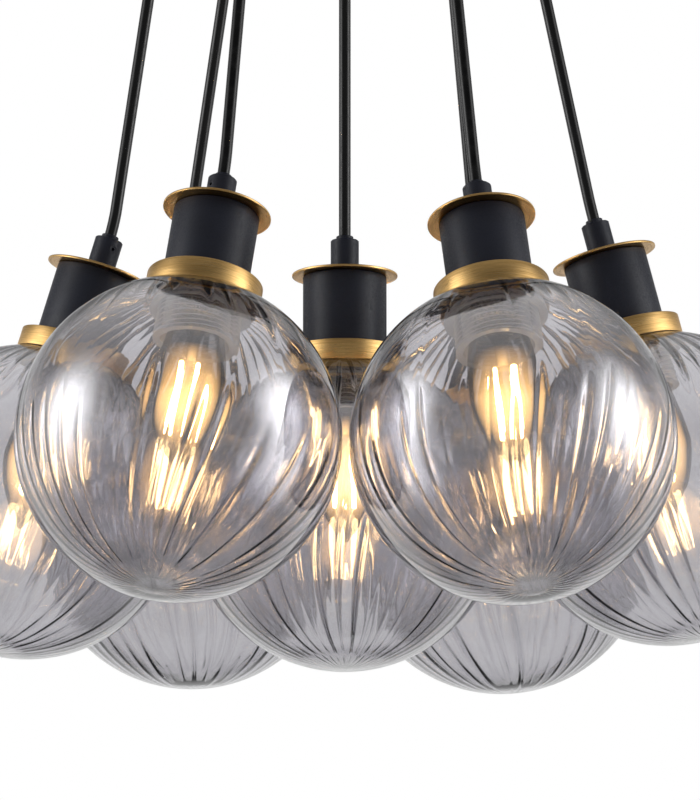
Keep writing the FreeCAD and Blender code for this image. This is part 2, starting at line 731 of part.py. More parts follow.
def mounting_bar():
    """Steel bar for the ceiling, with two slots and two studs for the canopy cover."""
    body = doc.addObject("PartDesign::Body", "Bar")
    sketch = new_sketch(body, "XY_Plane", "BarOutline")
    half, side = size("BarLength") * 0.5, size("BarWidth") * 0.5
    draw_outline(sketch, [(-half, -side), (half, -side), (half, side), (-half, side)])
    plate = body.newObject("PartDesign::Pad", "BarPlate")
    plate.Profile = sketch
    plate.Reversed = True
    plate.setExpression("Length", size("BarThickness").text)
    doc.recompute()
    before = body.Shape.Volume
    slots = new_sketch(body, "XY_Plane", "SlotOutlines")
    for sign in (-0.5, 0.5):
        middle = size("SlotSpacing") * sign
        reach = size("SlotLength") * 0.5 - size("SlotRadius")
        radius = size("SlotRadius")
        draw_outline(slots, [
            (middle - reach, radius),
            (middle - reach, -radius, radius, True),
            (middle + reach, -radius),
            (middle + reach, radius, radius, True),
        ])
    pocket = body.newObject("PartDesign::Pocket", "Slots")
    pocket.Profile = slots
    pocket.Midplane = True
    pocket.setExpression("Length", ((size("BarThickness") + PAST) * 2.0).text)
    doc.recompute()
    if not body.Shape.Volume < before:
        raise RuntimeError("the slots cut nothing")
    stud_base = canopy_floor - size("CapNutHoleDepth") + size("StudEndGap")
    stud_length = -size("BarThickness") - stud_base
    pieces = [body]
    for name, sign in (("StudLeft", -0.5), ("StudRight", 0.5)):
        stud = cylinder(name, size("StudRadius"), stud_length, stud_base)
        stud.setExpression("Placement.Base.x", (size("StudSpacing") * sign).text)
        pieces.append(stud)
        pieces.append(cap_nut(f"{name}Nut", size("StudSpacing") * sign))
    return pieces


def gland_outline():
    """Half outline of a gland. Its mouth opens wide enough for the cord's outward swing."""
    rim = size("GlandRadius")
    thread = size("GlandThreadRadius")
    thread_top = canopy_sheet_top + size("GlandThreadLength")
    limit = size("SwingLimit").number
    slope = math.tan(math.radians(limit + size("MouthMargin").number))
    waist = size("CordRadius") / math.cos(math.radians(limit)) + size("SwingRoom")
    throat = size("CordRadius") + size("SwingRoom")
    throat_height = pivot_height + (waist - throat) / slope
    mouth = waist + size("PivotHeight") * slope
    return [
        (throat, throat_height),
        (mouth, gland_mouth),
        (rim - size("GlandBevel"), gland_mouth),
        (rim, gland_mouth + size("GlandBevel")),
        (rim, canopy_floor),
        (thread, canopy_floor),
        (thread, thread_top),
        (throat, thread_top),
    ]


def cord_glands():
    """Seven glands with their nuts, each holding the fixed end of a cord."""
    thread_top = canopy_sheet_top + size("GlandThreadLength")
    body = turned_body("Gland", gland_outline())
    bore = size("GlandThreadRadius") + size("ThreadClearance")
    nut = hexagon("GlandNut", size("GlandNutWidth"), size("GlandNutHeight"), canopy_sheet_top, bore)
    tail_base = pivot_height + size("CordRadius") + size("SwingRoom")
    tail_length = thread_top + size("TailLength") - tail_base
    tail = cylinder("CordTail", size("CordRadius"), tail_length, tail_base)
    one = doc.addObject("Part::Compound", "OneGland")
    one.Links = [body, nut, tail]
    doc.recompute()
    pieces = []
    for i, (across, up) in enumerate(gland_places()):
        copy = doc.addObject("Part::Compound", f"GlandAt{i}")
        copy.Links = [one]
        copy.setExpression("Placement.Base.x", across.text)
        copy.setExpression("Placement.Base.y", up.text)
        pieces.append(copy)
    return pieces


def terminal_block():
    """Terminal block on the canopy's floor, with round wire ways through it."""
    block_front = size("BlockOffset") - size("BlockWidth") * 0.5
    box = doc.addObject("Part::Box", "BlockBody")
    box.setExpression("Length", size("BlockLength").text)
    box.setExpression("Width", size("BlockWidth").text)
    box.setExpression("Height", size("BlockHeight").text)
    box.setExpression("Placement.Base.x", (size("BlockLength") * -0.5).text)
    box.setExpression("Placement.Base.y", block_front.text)
    box.setExpression("Placement.Base.z", canopy_sheet_top.text)
    ways = int(size("BlockWays").number)
    shape = box
    for i in range(ways):
        way = doc.addObject("Part::Cylinder", f"WireWay{i}")
        way.setExpression("Radius", size("BlockWayRadius").text)
        way.setExpression("Height", (size("BlockWidth") + 2.0 * PAST).text)
        way.Placement.Rotation = FreeCAD.Rotation(FreeCAD.Vector(1, 0, 0), -90)
        share = (i + 0.5) / ways - 0.5
        way.setExpression("Placement.Base.x", (size("BlockLength") * share).text)
        way.setExpression("Placement.Base.y", (block_front - PAST).text)
        way.setExpression("Placement.Base.z", (canopy_sheet_top + size("BlockHeight") * 0.5).text)
        shape = difference(f"BlockCut{i}", shape, way)
    return shape


# ---------------------------------------------------------------- the cords


def lamp_placement(name, spins):
    """Give the placement of a lamp from the way it hangs, with or without its own spin."""
    azimuth, room, lift, lean, turn, spin = HANGS[name]
    reach = 0.0 if name == "centre" else 2.0 * size("GlobeRadius").number + room
    around = math.radians(azimuth)
    centre = FreeCAD.Vector(
        reach * math.cos(around),
        reach * math.sin(around),
        lift - size("GlobeDrop").number,
    )
    inward = math.radians(azimuth + turn)
    tilt_axis = FreeCAD.Vector(math.sin(inward), -math.cos(inward), 0)
    tilt = FreeCAD.Rotation(tilt_axis, lean)
    spinning = FreeCAD.Rotation(FreeCAD.Vector(0, 0, 1), spin if spins else 0.0)
    return FreeCAD.Placement(centre, tilt.multiply(spinning))


def cord_route(name, placement):
    """Give a cord's points: its bending point at the gland, the end of the straight stretch
    below it, the start of the straight stretch above the bush, and its end in the grip."""
    end_height = nipple_top.number + size("CordEndGap").number
    end = placement.multVec(FreeCAD.Vector(0, 0, end_height))
    if name == "centre":
        return [FreeCAD.Vector(0, 0, pivot_height.number), end]
    around = math.radians(GLAND_AZIMUTHS[name])
    ring = cord_ring.number
    top = FreeCAD.Vector(ring * math.cos(around), ring * math.sin(around), pivot_height.number)
    below = top - FreeCAD.Vector(0, 0, size("ExitRun").number)
    above_bush = FreeCAD.Vector(0, 0, bush_top.number + size("GripRun").number)
    return [top, below, placement.multVec(above_bush), end]


def rounded_path(points):
    """Join straight runs by tangent arcs, each as large as its two runs allow. Returns the
    wire, its length and the radii of the arcs."""
    edges = []
    radii = []
    start = points[0]
    for before, corner, after in zip(points, points[1:], points[2:]):
        back = before - corner
        ahead = after - corner
        tangent = ARC_SHARE * min(back.Length, ahead.Length)
        turn = math.pi - back.getAngle(ahead)
        radii.append(tangent / math.tan(turn / 2))
        back.normalize()
        ahead.normalize()
        into = corner + back * tangent
        out = corner + ahead * tangent
        inwards = (back + ahead).normalize()
        centre_distance = radii[-1] / math.cos(turn / 2)
        middle = corner + inwards * (centre_distance - radii[-1])
        edges.append(Part.LineSegment(start, into).toShape())
        edges.append(Part.Arc(into, middle, out).toShape())
        start = out
    edges.append(Part.LineSegment(start, points[-1]).toShape())
    wire = Part.Wire(edges)
    return wire, wire.Length, radii


def cord(name, placement):
    """Cord from its gland to its grip, with a round end at the gland to swing on."""
    points = cord_route(name, placement)
    radius = size("CordRadius").number
    wire, length, radii = rounded_path(points)
    along = points[1] - points[0]
    ring = Part.Wire([Part.Circle(points[0], along, radius).toShape()])
    tube_shape = wire.makePipeShell([ring], True, False)
    expected = math.pi * radius**2 * length
    if abs(tube_shape.Volume / expected - 1) > VOLUME_SLACK:
        raise RuntimeError(f"the cord {name} has a volume of {tube_shape.Volume}, not {expected}")
    ball = Part.makeSphere(radius, points[0])
    shape = tube_shape.fuse(ball).removeSplitter()
    print(name, "cord length", round(length, 1), "radii", [round(r) for r in radii])
    made = doc.addObject("Part::Feature", f"{name}_cord")
    made.Shape = shape
    made.Label = f"{name}_cord"
    return made


# ---------------------------------------------------------------- the assembly


def node(label, pieces, placement=None):
    """Gather one or more solids as a sub-part under its own label and placement."""
    made = doc.addObject("Part::Compound", label)
    made.Links = pieces
    made.Label = label
    if placement is not None:
        made.Placement = placement
    return made


def lamp_pieces():
    """Make each piece of a lamp once, upright about its own axis."""
    return {
        "globe": [globe()],
        "collar": [collar()],
        "holder_cup": [holder_cup()],
        "disc": [disc()],
        "cord_grip": cord_grip(),
        "lampholder": lampholder(),
        "bulb": bulb(),
    }


def assemble():
    """Build the canopy and hang the seven lamps from it."""
    nodes = [
        node("canopy_cover", [canopy_cover()]),
        node("mounting_bracket", mounting_bar()),
        node("cord_glands", cord_glands()),
        node("terminal_block", [terminal_block()]),
    ]
    pieces = lamp_pieces()
    doc.recompute()
    for name in HANGS:
        for piece, solids in pieces.items():
            placement = lamp_placement(name, piece != "bulb")
            nodes.append(node(f"{name}_{piece}", solids, placement))
        nodes.append(cord(name, lamp_placement(name, True)))
    doc.recompute()
    return nodes


def check(nodes):
    """Stop before anything is written if an object failed or a shape isn't sound."""
    for item in doc.Objects:
        if "Invalid" in item.State or "Error" in item.State:
            raise RuntimeError(f"{item.Label} failed: {item.State}")
    for item in nodes:
        if item.Shape.isNull() or not item.Shape.isValid() or not item.Shape.Solids:
            raise RuntimeError(f"{item.Label} has no sound shape")


def write(nodes):
    """Write each sub-part to its own file."""
    os.makedirs("parts", exist_ok=True)
    for item in nodes:
        item.Shape.exportStep(f"parts/{item.Label}.step")
    print(len(nodes), "sub-parts,", sum(len(item.Shape.Solids) for item in nodes), "solids")


all_nodes = assemble()
check(all_nodes)
write(all_nodes)
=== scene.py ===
"""Visual model of a cluster pendant: seven smoked glass globe lamps on black cords.

Sizes are in millimetres and angles in degrees, and a mesh is turned to metres as it is made.
The frame's origin is at the ceiling, and everything hangs below it in -Z. A lamp is worked out
upright in its own frame, with the globe's centre at the origin, and then laid where it hangs.
"""

import logging
import math
from dataclasses import dataclass, field
from enum import Enum
from typing import Any, Sequence

import bmesh
import bpy
import numpy as np
from mathutils import Matrix, Vector


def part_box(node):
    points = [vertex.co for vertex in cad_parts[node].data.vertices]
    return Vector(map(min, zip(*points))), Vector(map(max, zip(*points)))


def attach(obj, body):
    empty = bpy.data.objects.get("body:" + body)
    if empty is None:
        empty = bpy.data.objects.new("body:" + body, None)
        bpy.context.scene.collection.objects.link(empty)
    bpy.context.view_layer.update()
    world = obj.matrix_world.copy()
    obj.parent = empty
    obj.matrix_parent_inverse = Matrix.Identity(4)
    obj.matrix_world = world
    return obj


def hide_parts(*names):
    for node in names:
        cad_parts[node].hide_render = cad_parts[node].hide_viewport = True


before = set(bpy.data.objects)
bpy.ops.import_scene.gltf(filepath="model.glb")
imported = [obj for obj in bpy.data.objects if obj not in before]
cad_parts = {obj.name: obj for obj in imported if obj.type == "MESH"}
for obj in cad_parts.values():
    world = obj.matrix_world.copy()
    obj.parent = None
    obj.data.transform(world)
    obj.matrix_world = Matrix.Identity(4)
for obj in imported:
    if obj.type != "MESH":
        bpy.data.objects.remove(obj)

LOG = logging.getLogger("pendant")
MM = 0.001
FULL_TURN = 2.0 * math.pi
WHITE = (1.0, 1.0, 1.0, 1.0)

# Attributes on every point: its place in its lamp's own frame, the way round the lamp's axis,
# and how tinted it is, where a plain wall is halfway.
PLACE = "place"
AROUND = "around"
TINT = "tint"
PLAIN_TINT = 0.5

# Most of a noise lies between these two.
NOISE_LOW = 0.3
NOISE_HIGH = 0.7

# With this blend, Layer Weight's Facing is one less the cosine of the turn from the eye.
COSINE_BLEND = 0.5

# Edges turned by more than this stay sharp, points nearer than this in metres are merged, and
# a length under the last is none.
SHARP_EDGE = math.radians(32.0)
MERGE_DISTANCE = 1e-7
NO_LENGTH = 1e-6

# A direction that no path follows.
ASIDE = (0.31, 0.57, 0.05)


class Coordinates(Enum):
    """What a pattern is laid on: the piece's place in the room, or its lamp's own frame."""

    ROOM = "room"
    LAMP = "lamp"


class Side(Enum):
    """The side of the cluster that a softbox stands on."""

    LEFT = -1.0
    RIGHT = 1.0


# ------------------------------------------------------------------ colour and nodes


def linear(colour: str) -> tuple[float, float, float, float]:
    """Turn an sRGB hex colour to linear, by the two-part sRGB curve.

    Args:
        colour: six hex digits after a #.

    Returns:
        Red, green, blue and a full alpha.
    """
    shares = [int(colour[i : i + 2], 16) / 255.0 for i in (1, 3, 5)]
    red, green, blue = [c / 12.92 if c <= 0.04045 else ((c + 0.055) / 1.055) ** 2.4 for c in shares]
    return red, green, blue, 1.0


def add_node(
    tree: bpy.types.NodeTree,
    kind: str,
    settings: dict[str, Any] | None = None,
    feeds: dict[str | int, Any] | None = None,
) -> bpy.types.Node:
    """Add a node with its settings and what feeds its sockets.

    Args:
        tree: the node tree.
        kind: the node's type name.
        settings: the node's own properties.
        feeds: for each socket, another node's output or a plain value.

    Returns:
        The new node.
    """
    node = tree.nodes.new(kind)
    for name, value in (settings or {}).items():
        setattr(node, name, value)
    for key, value in (feeds or {}).items():
        if isinstance(value, bpy.types.NodeSocket):
            tree.links.new(value, node.inputs[key])
        else:
            node.inputs[key].default_value = value
    return node


def pattern_place(tree: bpy.types.NodeTree, ground: Coordinates) -> bpy.types.NodeSocket:
    """Give the coordinates, in metres, that a pattern is laid on.

    Args:
        tree: the material's node tree.
        ground: the room, or the lamp's own frame, kept on the mesh.

    Returns:
        The output that holds them.
    """
    if ground is Coordinates.LAMP:
        return add_node(tree, "ShaderNodeAttribute", {"attribute_name": PLACE}).outputs["Vector"]
    return add_node(tree, "ShaderNodeTexCoord").outputs["Object"]


def spread(
    tree: bpy.types.NodeTree, value: bpy.types.NodeSocket, low: float, high: float
) -> bpy.types.NodeSocket:
    """Carry the middle of a noise's range over to the range from low to high.

    Args:
        tree: the node tree.
        value: the noise.
        low: what its low end becomes.
        high: what its high end becomes.

    Returns:
        The output that holds the new value.
    """
    feeds = {
        "Value": value,
        "From Min": NOISE_LOW,
        "From Max": NOISE_HIGH,
        "To Min": low,
        "To Max": high,
    }
    return add_node(tree, "ShaderNodeMapRange", feeds=feeds).outputs["Result"]


def blend_colours(
    tree: bpy.types.NodeTree, share: bpy.types.NodeSocket, colours: Sequence[str]
) -> bpy.types.NodeSocket:
    """Blend from the first sRGB hex colour to the last, through those between in even steps.

    Args:
        tree: the material's node tree.
        share: how far along the colours it is, from 0 to 1.
        colours: the colours, two or more.

    Returns:
        The output that holds the blended colour.
    """
    ramp = add_node(tree, "ShaderNodeValToRGB", feeds={"Fac": share})
    stops = ramp.color_ramp.elements
    last = len(colours) - 1
    for i in range(1, last):
        stops.new(i / last)
    for stop, colour in zip(stops, colours):
        stop.color = linear(colour)
    return ramp.outputs["Color"]


def seen_rays(tree: bpy.types.NodeTree) -> tuple[bpy.types.NodeSocket, bpy.types.NodeSocket]:
    """Tell what is seen, straight or through glass, from what is mirrored.

    Args:
        tree: the node tree of the world or a material.

    Returns:
        An output that is 1 for a ray of sight, and one that counts its mirrorings.
    """
    rays = add_node(tree, "ShaderNodeLightPath").outputs
    feeds = {0: rays["Is Camera Ray"], 1: rays["Is Transmission Ray"]}
    seen = add_node(tree, "ShaderNodeMath", {"operation": "MAXIMUM"}, feeds)
    return seen.outputs["Value"], rays["Glossy Depth"]


# ------------------------------------------------------------------ finishes


@dataclass(frozen=True)
class Finish:
    """A surface finish. Its material is made once and shared by the pieces that have it."""

    name: str
    slot: str
    colour: str
    roughness: float
    metallic: float = 0.0

    def material(self) -> bpy.types.Material:
        """Give the finish's material, and make it the first time.

        Returns:
            The material.
        """
        made = bpy.data.materials.get(self.name)
        if made is not None:
            return made
        made = bpy.data.materials.new(self.name)
        made.use_nodes = True
        tree = made.node_tree
        tree.nodes.clear()
        basics = {
            "Base Color": linear(self.colour),
            "Roughness": self.roughness,
            "Metallic": self.metallic,
        }
        shader = add_node(tree, "ShaderNodeBsdfPrincipled", feeds=basics)
        add_node(tree, "ShaderNodeOutputMaterial", feeds={"Surface": shader.outputs["BSDF"]})
        self.detail(tree, shader)
        return made

    def detail(self, tree: bpy.types.NodeTree, shader: bpy.types.Node) -> None:
        """Add the pattern of this finish to its shader.

        Args:
            tree: the material's node tree.
            shader: its shader.
        """
        raise NotImplementedError(self.name)


@dataclass(frozen=True)
class SmokeGlass(Finish):
    """Blown soda-lime glass with a thin vacuum-coated smoke mirror.

    It gives the eye a cool grey globe that mirrors and lets light through at once. The tint
    grows with the wall, so each rib draws a darker streak, and the foot is left nearly clear.
    Slow waves from blowing bend what shows in it.
    """

    bare: str = "#ffffff"
    thick: str = "#babac0"
    ior: float = 1.5
    wave: float = 26.0
    wave_depth: float = 0.3

    def detail(self, tree: bpy.types.NodeTree, shader: bpy.types.Node) -> None:
        """Let light through, clear at the foot and darker in the ribs, and bend it with waves.

        Args:
            tree: the material's node tree.
            shader: its shader.
        """
        shader.inputs["IOR"].default_value = self.ior
        shader.inputs["Transmission Weight"].default_value = 1.0
        wall = add_node(tree, "ShaderNodeAttribute", {"attribute_name": TINT}).outputs["Fac"]
        tint = blend_colours(tree, wall, (self.bare, self.colour, self.thick))
        tree.links.new(tint, shader.inputs["Base Color"])
        feeds = {
            "Vector": pattern_place(tree, Coordinates.LAMP),
            "Scale": 1.0 / (self.wave * MM),
            "Detail": 0.0,
        }
        waves = add_node(tree, "ShaderNodeTexNoise", feeds=feeds)
        feeds = {"Height": waves.outputs["Fac"], "Distance": self.wave_depth * MM}
        bent = add_node(tree, "ShaderNodeBump", feeds=feeds)
        tree.links.new(bent.outputs["Normal"], shader.inputs["Normal"])


@dataclass(frozen=True)
class BulbGlass(Finish):
    """Thin clear lamp glass.

    The glass carries a painted halo: an amber glow on it, strongest near the rods and face-on, stands in for
    their glare. Its edge is dark and nearly clear. The wall is too thin to bend light, so it shows as a film
    that is a little closer edge-on.
    """

    film: float = 0.32
    edge_film: float = 0.45
    edge_power: float = 0.2
    # Painted halo: the colour and reach of the amber glow laid on the glass round the rods.
    glow: str = "#ffc67a"
    painted_halo_strength: float = 17.0
    painted_halo_middle: float = 20.0
    painted_halo_reach: float = 27.0
    painted_halo_turn: float = 0.55

    def detail(self, tree: bpy.types.NodeTree, shader: bpy.types.Node) -> None:
        """Let the film close towards its edge, and paint a glowing halo on the glass over the rods.

        Args:
            tree: the material's node tree.
            shader: its shader.
        """
        place = pattern_place(tree, Coordinates.LAMP)
        middle = (0.0, 0.0, self.painted_halo_middle * MM)
        away = add_node(tree, "ShaderNodeVectorMath", {"operation": "DISTANCE"}, {0: place, 1: middle})
        feeds = {
            "Value": away.outputs["Value"],
            "From Min": 0.0,
            "From Max": self.painted_halo_reach * MM,
            "To Min": self.painted_halo_strength,
            "To Max": 0.0,
        }
        near = add_node(tree, "ShaderNodeMapRange", feeds=feeds)
        turned = add_node(tree, "ShaderNodeLayerWeight", feeds={"Blend": COSINE_BLEND})
        feeds = {
            "Value": turned.outputs["Facing"],
            "From Min": 0.0,
            "From Max": self.painted_halo_turn,
            "To Min": near.outputs["Result"],
            "To Max": 0.0,
        }
        glow = add_node(tree, "ShaderNodeMapRange", feeds=feeds)
        # Painted halo: emission on the glass, bright near the rods and face-on, fading to none edge-on.
        shader.inputs["Emission Color"].default_value = linear(self.glow)
        tree.links.new(glow.outputs["Result"], shader.inputs["Emission Strength"])
        facing = add_node(tree, "ShaderNodeLayerWeight", feeds={"Blend": self.edge_power})
        feeds = {
            "Value": facing.outputs["Fresnel"],
            "From Min": 0.0,
            "From Max": 1.0,
            "To Min": self.film,
            "To Max": self.edge_film,
        }
        film = add_node(tree, "ShaderNodeMapRange", feeds=feeds)
        tree.links.new(film.outputs["Result"], shader.inputs["Alpha"])


@dataclass(frozen=True)
class ClearPolycarbonate(Finish):
    """Clear moulded polycarbonate.

    It gives the eye a pale, slightly cloudy thread whose ridges catch the light. The wall is
    too thin to bend much, so it shows as a film that closes where it turns edge-on.
    """

    film: float = 0.09
    edge: float = 1.0
    cloud: float = 6.0
    cloudiness: float = 2.0

    def detail(self, tree: bpy.types.NodeTree, shader: bpy.types.Node) -> None:
        """Let light through, more face-on than edge-on, clouded by the mould's flow lines.

        Args:
            tree: the material's node tree.
            shader: its shader.
        """
        feeds = {"Vector": pattern_place(tree, Coordinates.ROOM), "Scale": 1.0 / (self.cloud * MM)}
        clouds = add_node(tree, "ShaderNodeTexNoise", feeds=feeds).outputs["Fac"]
        dulled = spread(tree, clouds, self.roughness, self.roughness * self.cloudiness)
        tree.links.new(dulled, shader.inputs["Roughness"])
        facing = add_node(tree, "ShaderNodeLayerWeight", feeds={"Blend": COSINE_BLEND})
        feeds = {"Value": facing.outputs["Facing"], "To Min": self.film, "To Max": self.edge}
        film = add_node(tree, "ShaderNodeMapRange", {"interpolation_type": "SMOOTHSTEP"}, feeds)
        tree.links.new(film.outputs["Result"], shader.inputs["Alpha"])


@dataclass(frozen=True)
class BrushedBrass(Finish):
    """Lacquered brass, turned and brushed round its axis.

    It gives the eye warm satin metal with fine rings and a soft upright highlight.
    """

    dark: str = "#b08a50"
    ring: float = 0.22
    streak: float = 14.0
    layers: float = 3.0
    scratch_depth: float = 0.012
    duller: float = 1.25
    brighter: float = 0.8
    stretch: float = 0.75

    def detail(self, tree: bpy.types.NodeTree, shader: bpy.types.Node) -> None:
        """Draw rings about the lamp's axis: noise on radius plus height, drawn out round it.

        The real brushing is about 0.1 mm wide, and it is drawn twice as coarse so that it
        shows. Its highlights are stretched across the rings.

        Args:
            tree: the material's node tree.
            shader: its shader.
        """
        rings_way = add_node(tree, "ShaderNodeAttribute", {"attribute_name": AROUND})
        tree.links.new(rings_way.outputs["Vector"], shader.inputs["Tangent"])
        shader.inputs["Anisotropic"].default_value = self.stretch
        place = pattern_place(tree, Coordinates.LAMP)
        parts = add_node(tree, "ShaderNodeSeparateXYZ", feeds={0: place})
        feeds = {0: place, 1: (1.0, 1.0, 0.0)}
        flat = add_node(tree, "ShaderNodeVectorMath", {"operation": "MULTIPLY"}, feeds)
        feeds = {0: flat.outputs["Vector"]}
        radius = add_node(tree, "ShaderNodeVectorMath", {"operation": "LENGTH"}, feeds)
        feeds = {0: radius.outputs["Value"], 1: parts.outputs["Z"]}
        rings = add_node(tree, "ShaderNodeMath", {"operation": "ADD"}, feeds)
        feeds = {"X": parts.outputs["X"], "Y": parts.outputs["Y"], "Z": rings.outputs["Value"]}
        spun = add_node(tree, "ShaderNodeCombineXYZ", feeds=feeds)
        share = self.ring / self.streak
        feeds = {0: spun.outputs["Vector"], 1: (share, share, 1.0)}
        drawn_out = add_node(tree, "ShaderNodeVectorMath", {"operation": "MULTIPLY"}, feeds)
        feeds = {
            "Vector": drawn_out.outputs["Vector"],
            "Scale": 1.0 / (self.ring * MM),
            "Detail": self.layers,
        }
        lines = add_node(tree, "ShaderNodeTexNoise", feeds=feeds).outputs["Fac"]
        colour = blend_colours(tree, spread(tree, lines, 0.0, 1.0), (self.dark, self.colour))
        tree.links.new(colour, shader.inputs["Base Color"])
        gloss = spread(tree, lines, self.roughness * self.duller, self.roughness * self.brighter)
        tree.links.new(gloss, shader.inputs["Roughness"])
        feeds = {"Height": lines, "Distance": self.scratch_depth * MM}
        scratched = add_node(tree, "ShaderNodeBump", feeds=feeds)
        tree.links.new(scratched.outputs["Normal"], shader.inputs["Normal"])


@dataclass(frozen=True)
class Grained(Finish):
    """A finish with an even fine grain, such as powder coat, cast plastic or plated steel.

    It gives the eye a colour that shifts a little and a broken-up highlight. The real grain is
    a tenth to a third of a millimetre wide, and it is drawn as coarse as it needs to show.
    """

    second: str = "#000000"
    grain: float = 0.8
    drift: float = 18.0
    grain_depth: float = 0.02
    rough_shift: float = 0.12
    gloss: float = 0.5

    def detail(self, tree: bpy.types.NodeTree, shader: bpy.types.Node) -> None:
        """Lay a fine noise under gloss and relief, and a slow one under the colour.

        Args:
            tree: the material's node tree.
            shader: its shader.
        """
        place = pattern_place(tree, Coordinates.ROOM)
        fine, slow = [
            add_node(tree, "ShaderNodeTexNoise", feeds={"Vector": place, "Scale": 1.0 / (width * MM)})
            for width in (self.grain, self.grain * self.drift)
        ]
        shift = spread(tree, slow.outputs["Fac"], 0.0, 1.0)
        colour = blend_colours(tree, shift, (self.colour, self.second))
        tree.links.new(colour, shader.inputs["Base Color"])
        grains = fine.outputs["Fac"]
        gloss = spread(tree, grains, self.roughness - self.rough_shift, self.roughness + self.rough_shift)
        tree.links.new(gloss, shader.inputs["Roughness"])
        feeds = {"Height": grains, "Distance": self.grain_depth * MM}
        bumped = add_node(tree, "ShaderNodeBump", feeds=feeds)
        tree.links.new(bumped.outputs["Normal"], shader.inputs["Normal"])
        shader.inputs["Specular IOR Level"].default_value = self.gloss


@dataclass(frozen=True)
class PaleFloor(Grained):
    """Matt floor paint, which looks nearly white and melts into the white room far away."""

    lift: float = 0.33
    far_lift: float = 0.51
    far: float = 14000.0

    def detail(self, tree: bpy.types.NodeTree, shader: bpy.types.Node) -> None:
        """Add a pale glow that only the eye sees, straight or through glass.

        Args:
            tree: the material's node tree.
            shader: its shader.
        """
        super().detail(tree, shader)
        feeds = {0: pattern_place(tree, Coordinates.ROOM)}
        away = add_node(tree, "ShaderNodeVectorMath", {"operation": "LENGTH"}, feeds)
        feeds = {
            "Value": away.outputs["Value"],
            "From Min": 0.0,
            "From Max": self.far * MM,
            "To Min": self.lift,
            "To Max": self.far_lift,
        }
        lift = add_node(tree, "ShaderNodeMapRange", feeds=feeds)
        seen, mirrorings = seen_rays(tree)
        settings = {"operation": "SUBTRACT", "use_clamp": True}
        straight = add_node(tree, "ShaderNodeMath", settings, {0: seen, 1: mirrorings})
        feeds = {0: straight.outputs["Value"], 1: lift.outputs["Result"]}
        glow = add_node(tree, "ShaderNodeMath", {"operation": "MULTIPLY"}, feeds)
        shader.inputs["Emission Color"].default_value = WHITE
        tree.links.new(glow.outputs["Value"], shader.inputs["Emission Strength"])


@dataclass(frozen=True)
class GlowingPhosphor(Finish):
    """Glowing phosphor on a filament rod.

    It gives the eye a nearly white bar with a warm amber edge.
    """

    edge: str = "#ffbe66"
    edge_blend: float = 0.35
    strength: float = 90.0

    def detail(self, tree: bpy.types.NodeTree, shader: bpy.types.Node) -> None:
        """Glow, whiter face-on than at the edge.

        Args:
            tree: the material's node tree.
            shader: its shader.
        """
        facing = add_node(tree, "ShaderNodeLayerWeight", feeds={"Blend": self.edge_blend})
        colour = blend_colours(tree, facing.outputs["Facing"], (self.colour, self.edge))
        tree.links.new(colour, shader.inputs["Emission Color"])
        shader.inputs["Emission Strength"].default_value = self.strength


@dataclass(frozen=True)
class Finishes:
    """Every finish on the pendant."""

    smoke: Finish = SmokeGlass("blown_smoke_glass", "smoke_glass", "#f0eff2", 0.0, 0.08)
    smoke_inside: Finish = SmokeGlass("smoke_mirror_on_glass", "smoke_glass", "#f0eff2", 0.0, 0.24)
    brass: Finish = BrushedBrass("brushed_lacquered_brass", "brushed_brass", "#e8c080", 0.31, 1.0)
    clear: Finish = ClearPolycarbonate("clear_moulded_polycarbonate", "clear_plastic", "#dcdee0", 0.04)
    # Lamp glass with a painted halo: an amber glow on the glass round the rods.
    lamp_glass: Finish = BulbGlass("clear_lamp_glass_painted_halo", "bulb_glass", "#2c2820", 0.02)
    phosphor: Finish = GlowingPhosphor("glowing_phosphor", "filament", "#ffdc9c", 0.5)

    # Baked powder coat: a blue-black that hardly shines, with one broad soft highlight.
    powder: Finish = Grained(
        "black_powder_coat", "black_metal", "#0f1220", 0.5, second="#131726", gloss=0.38
    )

    # Moulded phenolic: near black, with a dull shine.
    phenolic: Finish = Grained("black_moulded_phenolic", "holder_plastic", "#19191b", 0.42, second="#222224")

    # Satin nickel plate: warm grey metal with a soft gleam.
    nickel: Finish = Grained(
        "satin_nickel_plate", "nickel_plate", "#c8c5bd", 0.26, 1.0, second="#b5b1a8", rough_shift=0.06
    )

    # Extruded PVC: smooth and black, with a thin bright line along it.
    pvc: Finish = Grained(
        "extruded_black_pvc",
        "black_pvc",
        "#040405",
        0.22,
        second="#060607",
        grain=5.0,
        grain_depth=0.0,
        gloss=0.4,
    )

    # Moulded nylon: black and dull, or a warm white.
    nylon: Finish = Grained("black_moulded_nylon", "black_plastic", "#17171a", 0.5, second="#1f1f22")
    white_nylon: Finish = Grained("white_moulded_nylon", "white_plastic", "#e2dfd6", 0.45, second="#d8d5cb")

    # Zinc-plated pressed steel: a pale, slightly clouded blue-grey metal.
    zinc: Finish = Grained(
        "zinc_plated_steel", "zinc_steel", "#b9bdc2", 0.36, 1.0, second="#9aa0a8", grain=1.6
    )


FINISHES = Finishes()


# ------------------------------------------------------------------ outlines and surfaces


@dataclass(frozen=True)
class Corner:
    """A corner of a turned piece's outline, and the radius that it is rounded to."""

    across: float
    up: float
    rounding: float = 0.0


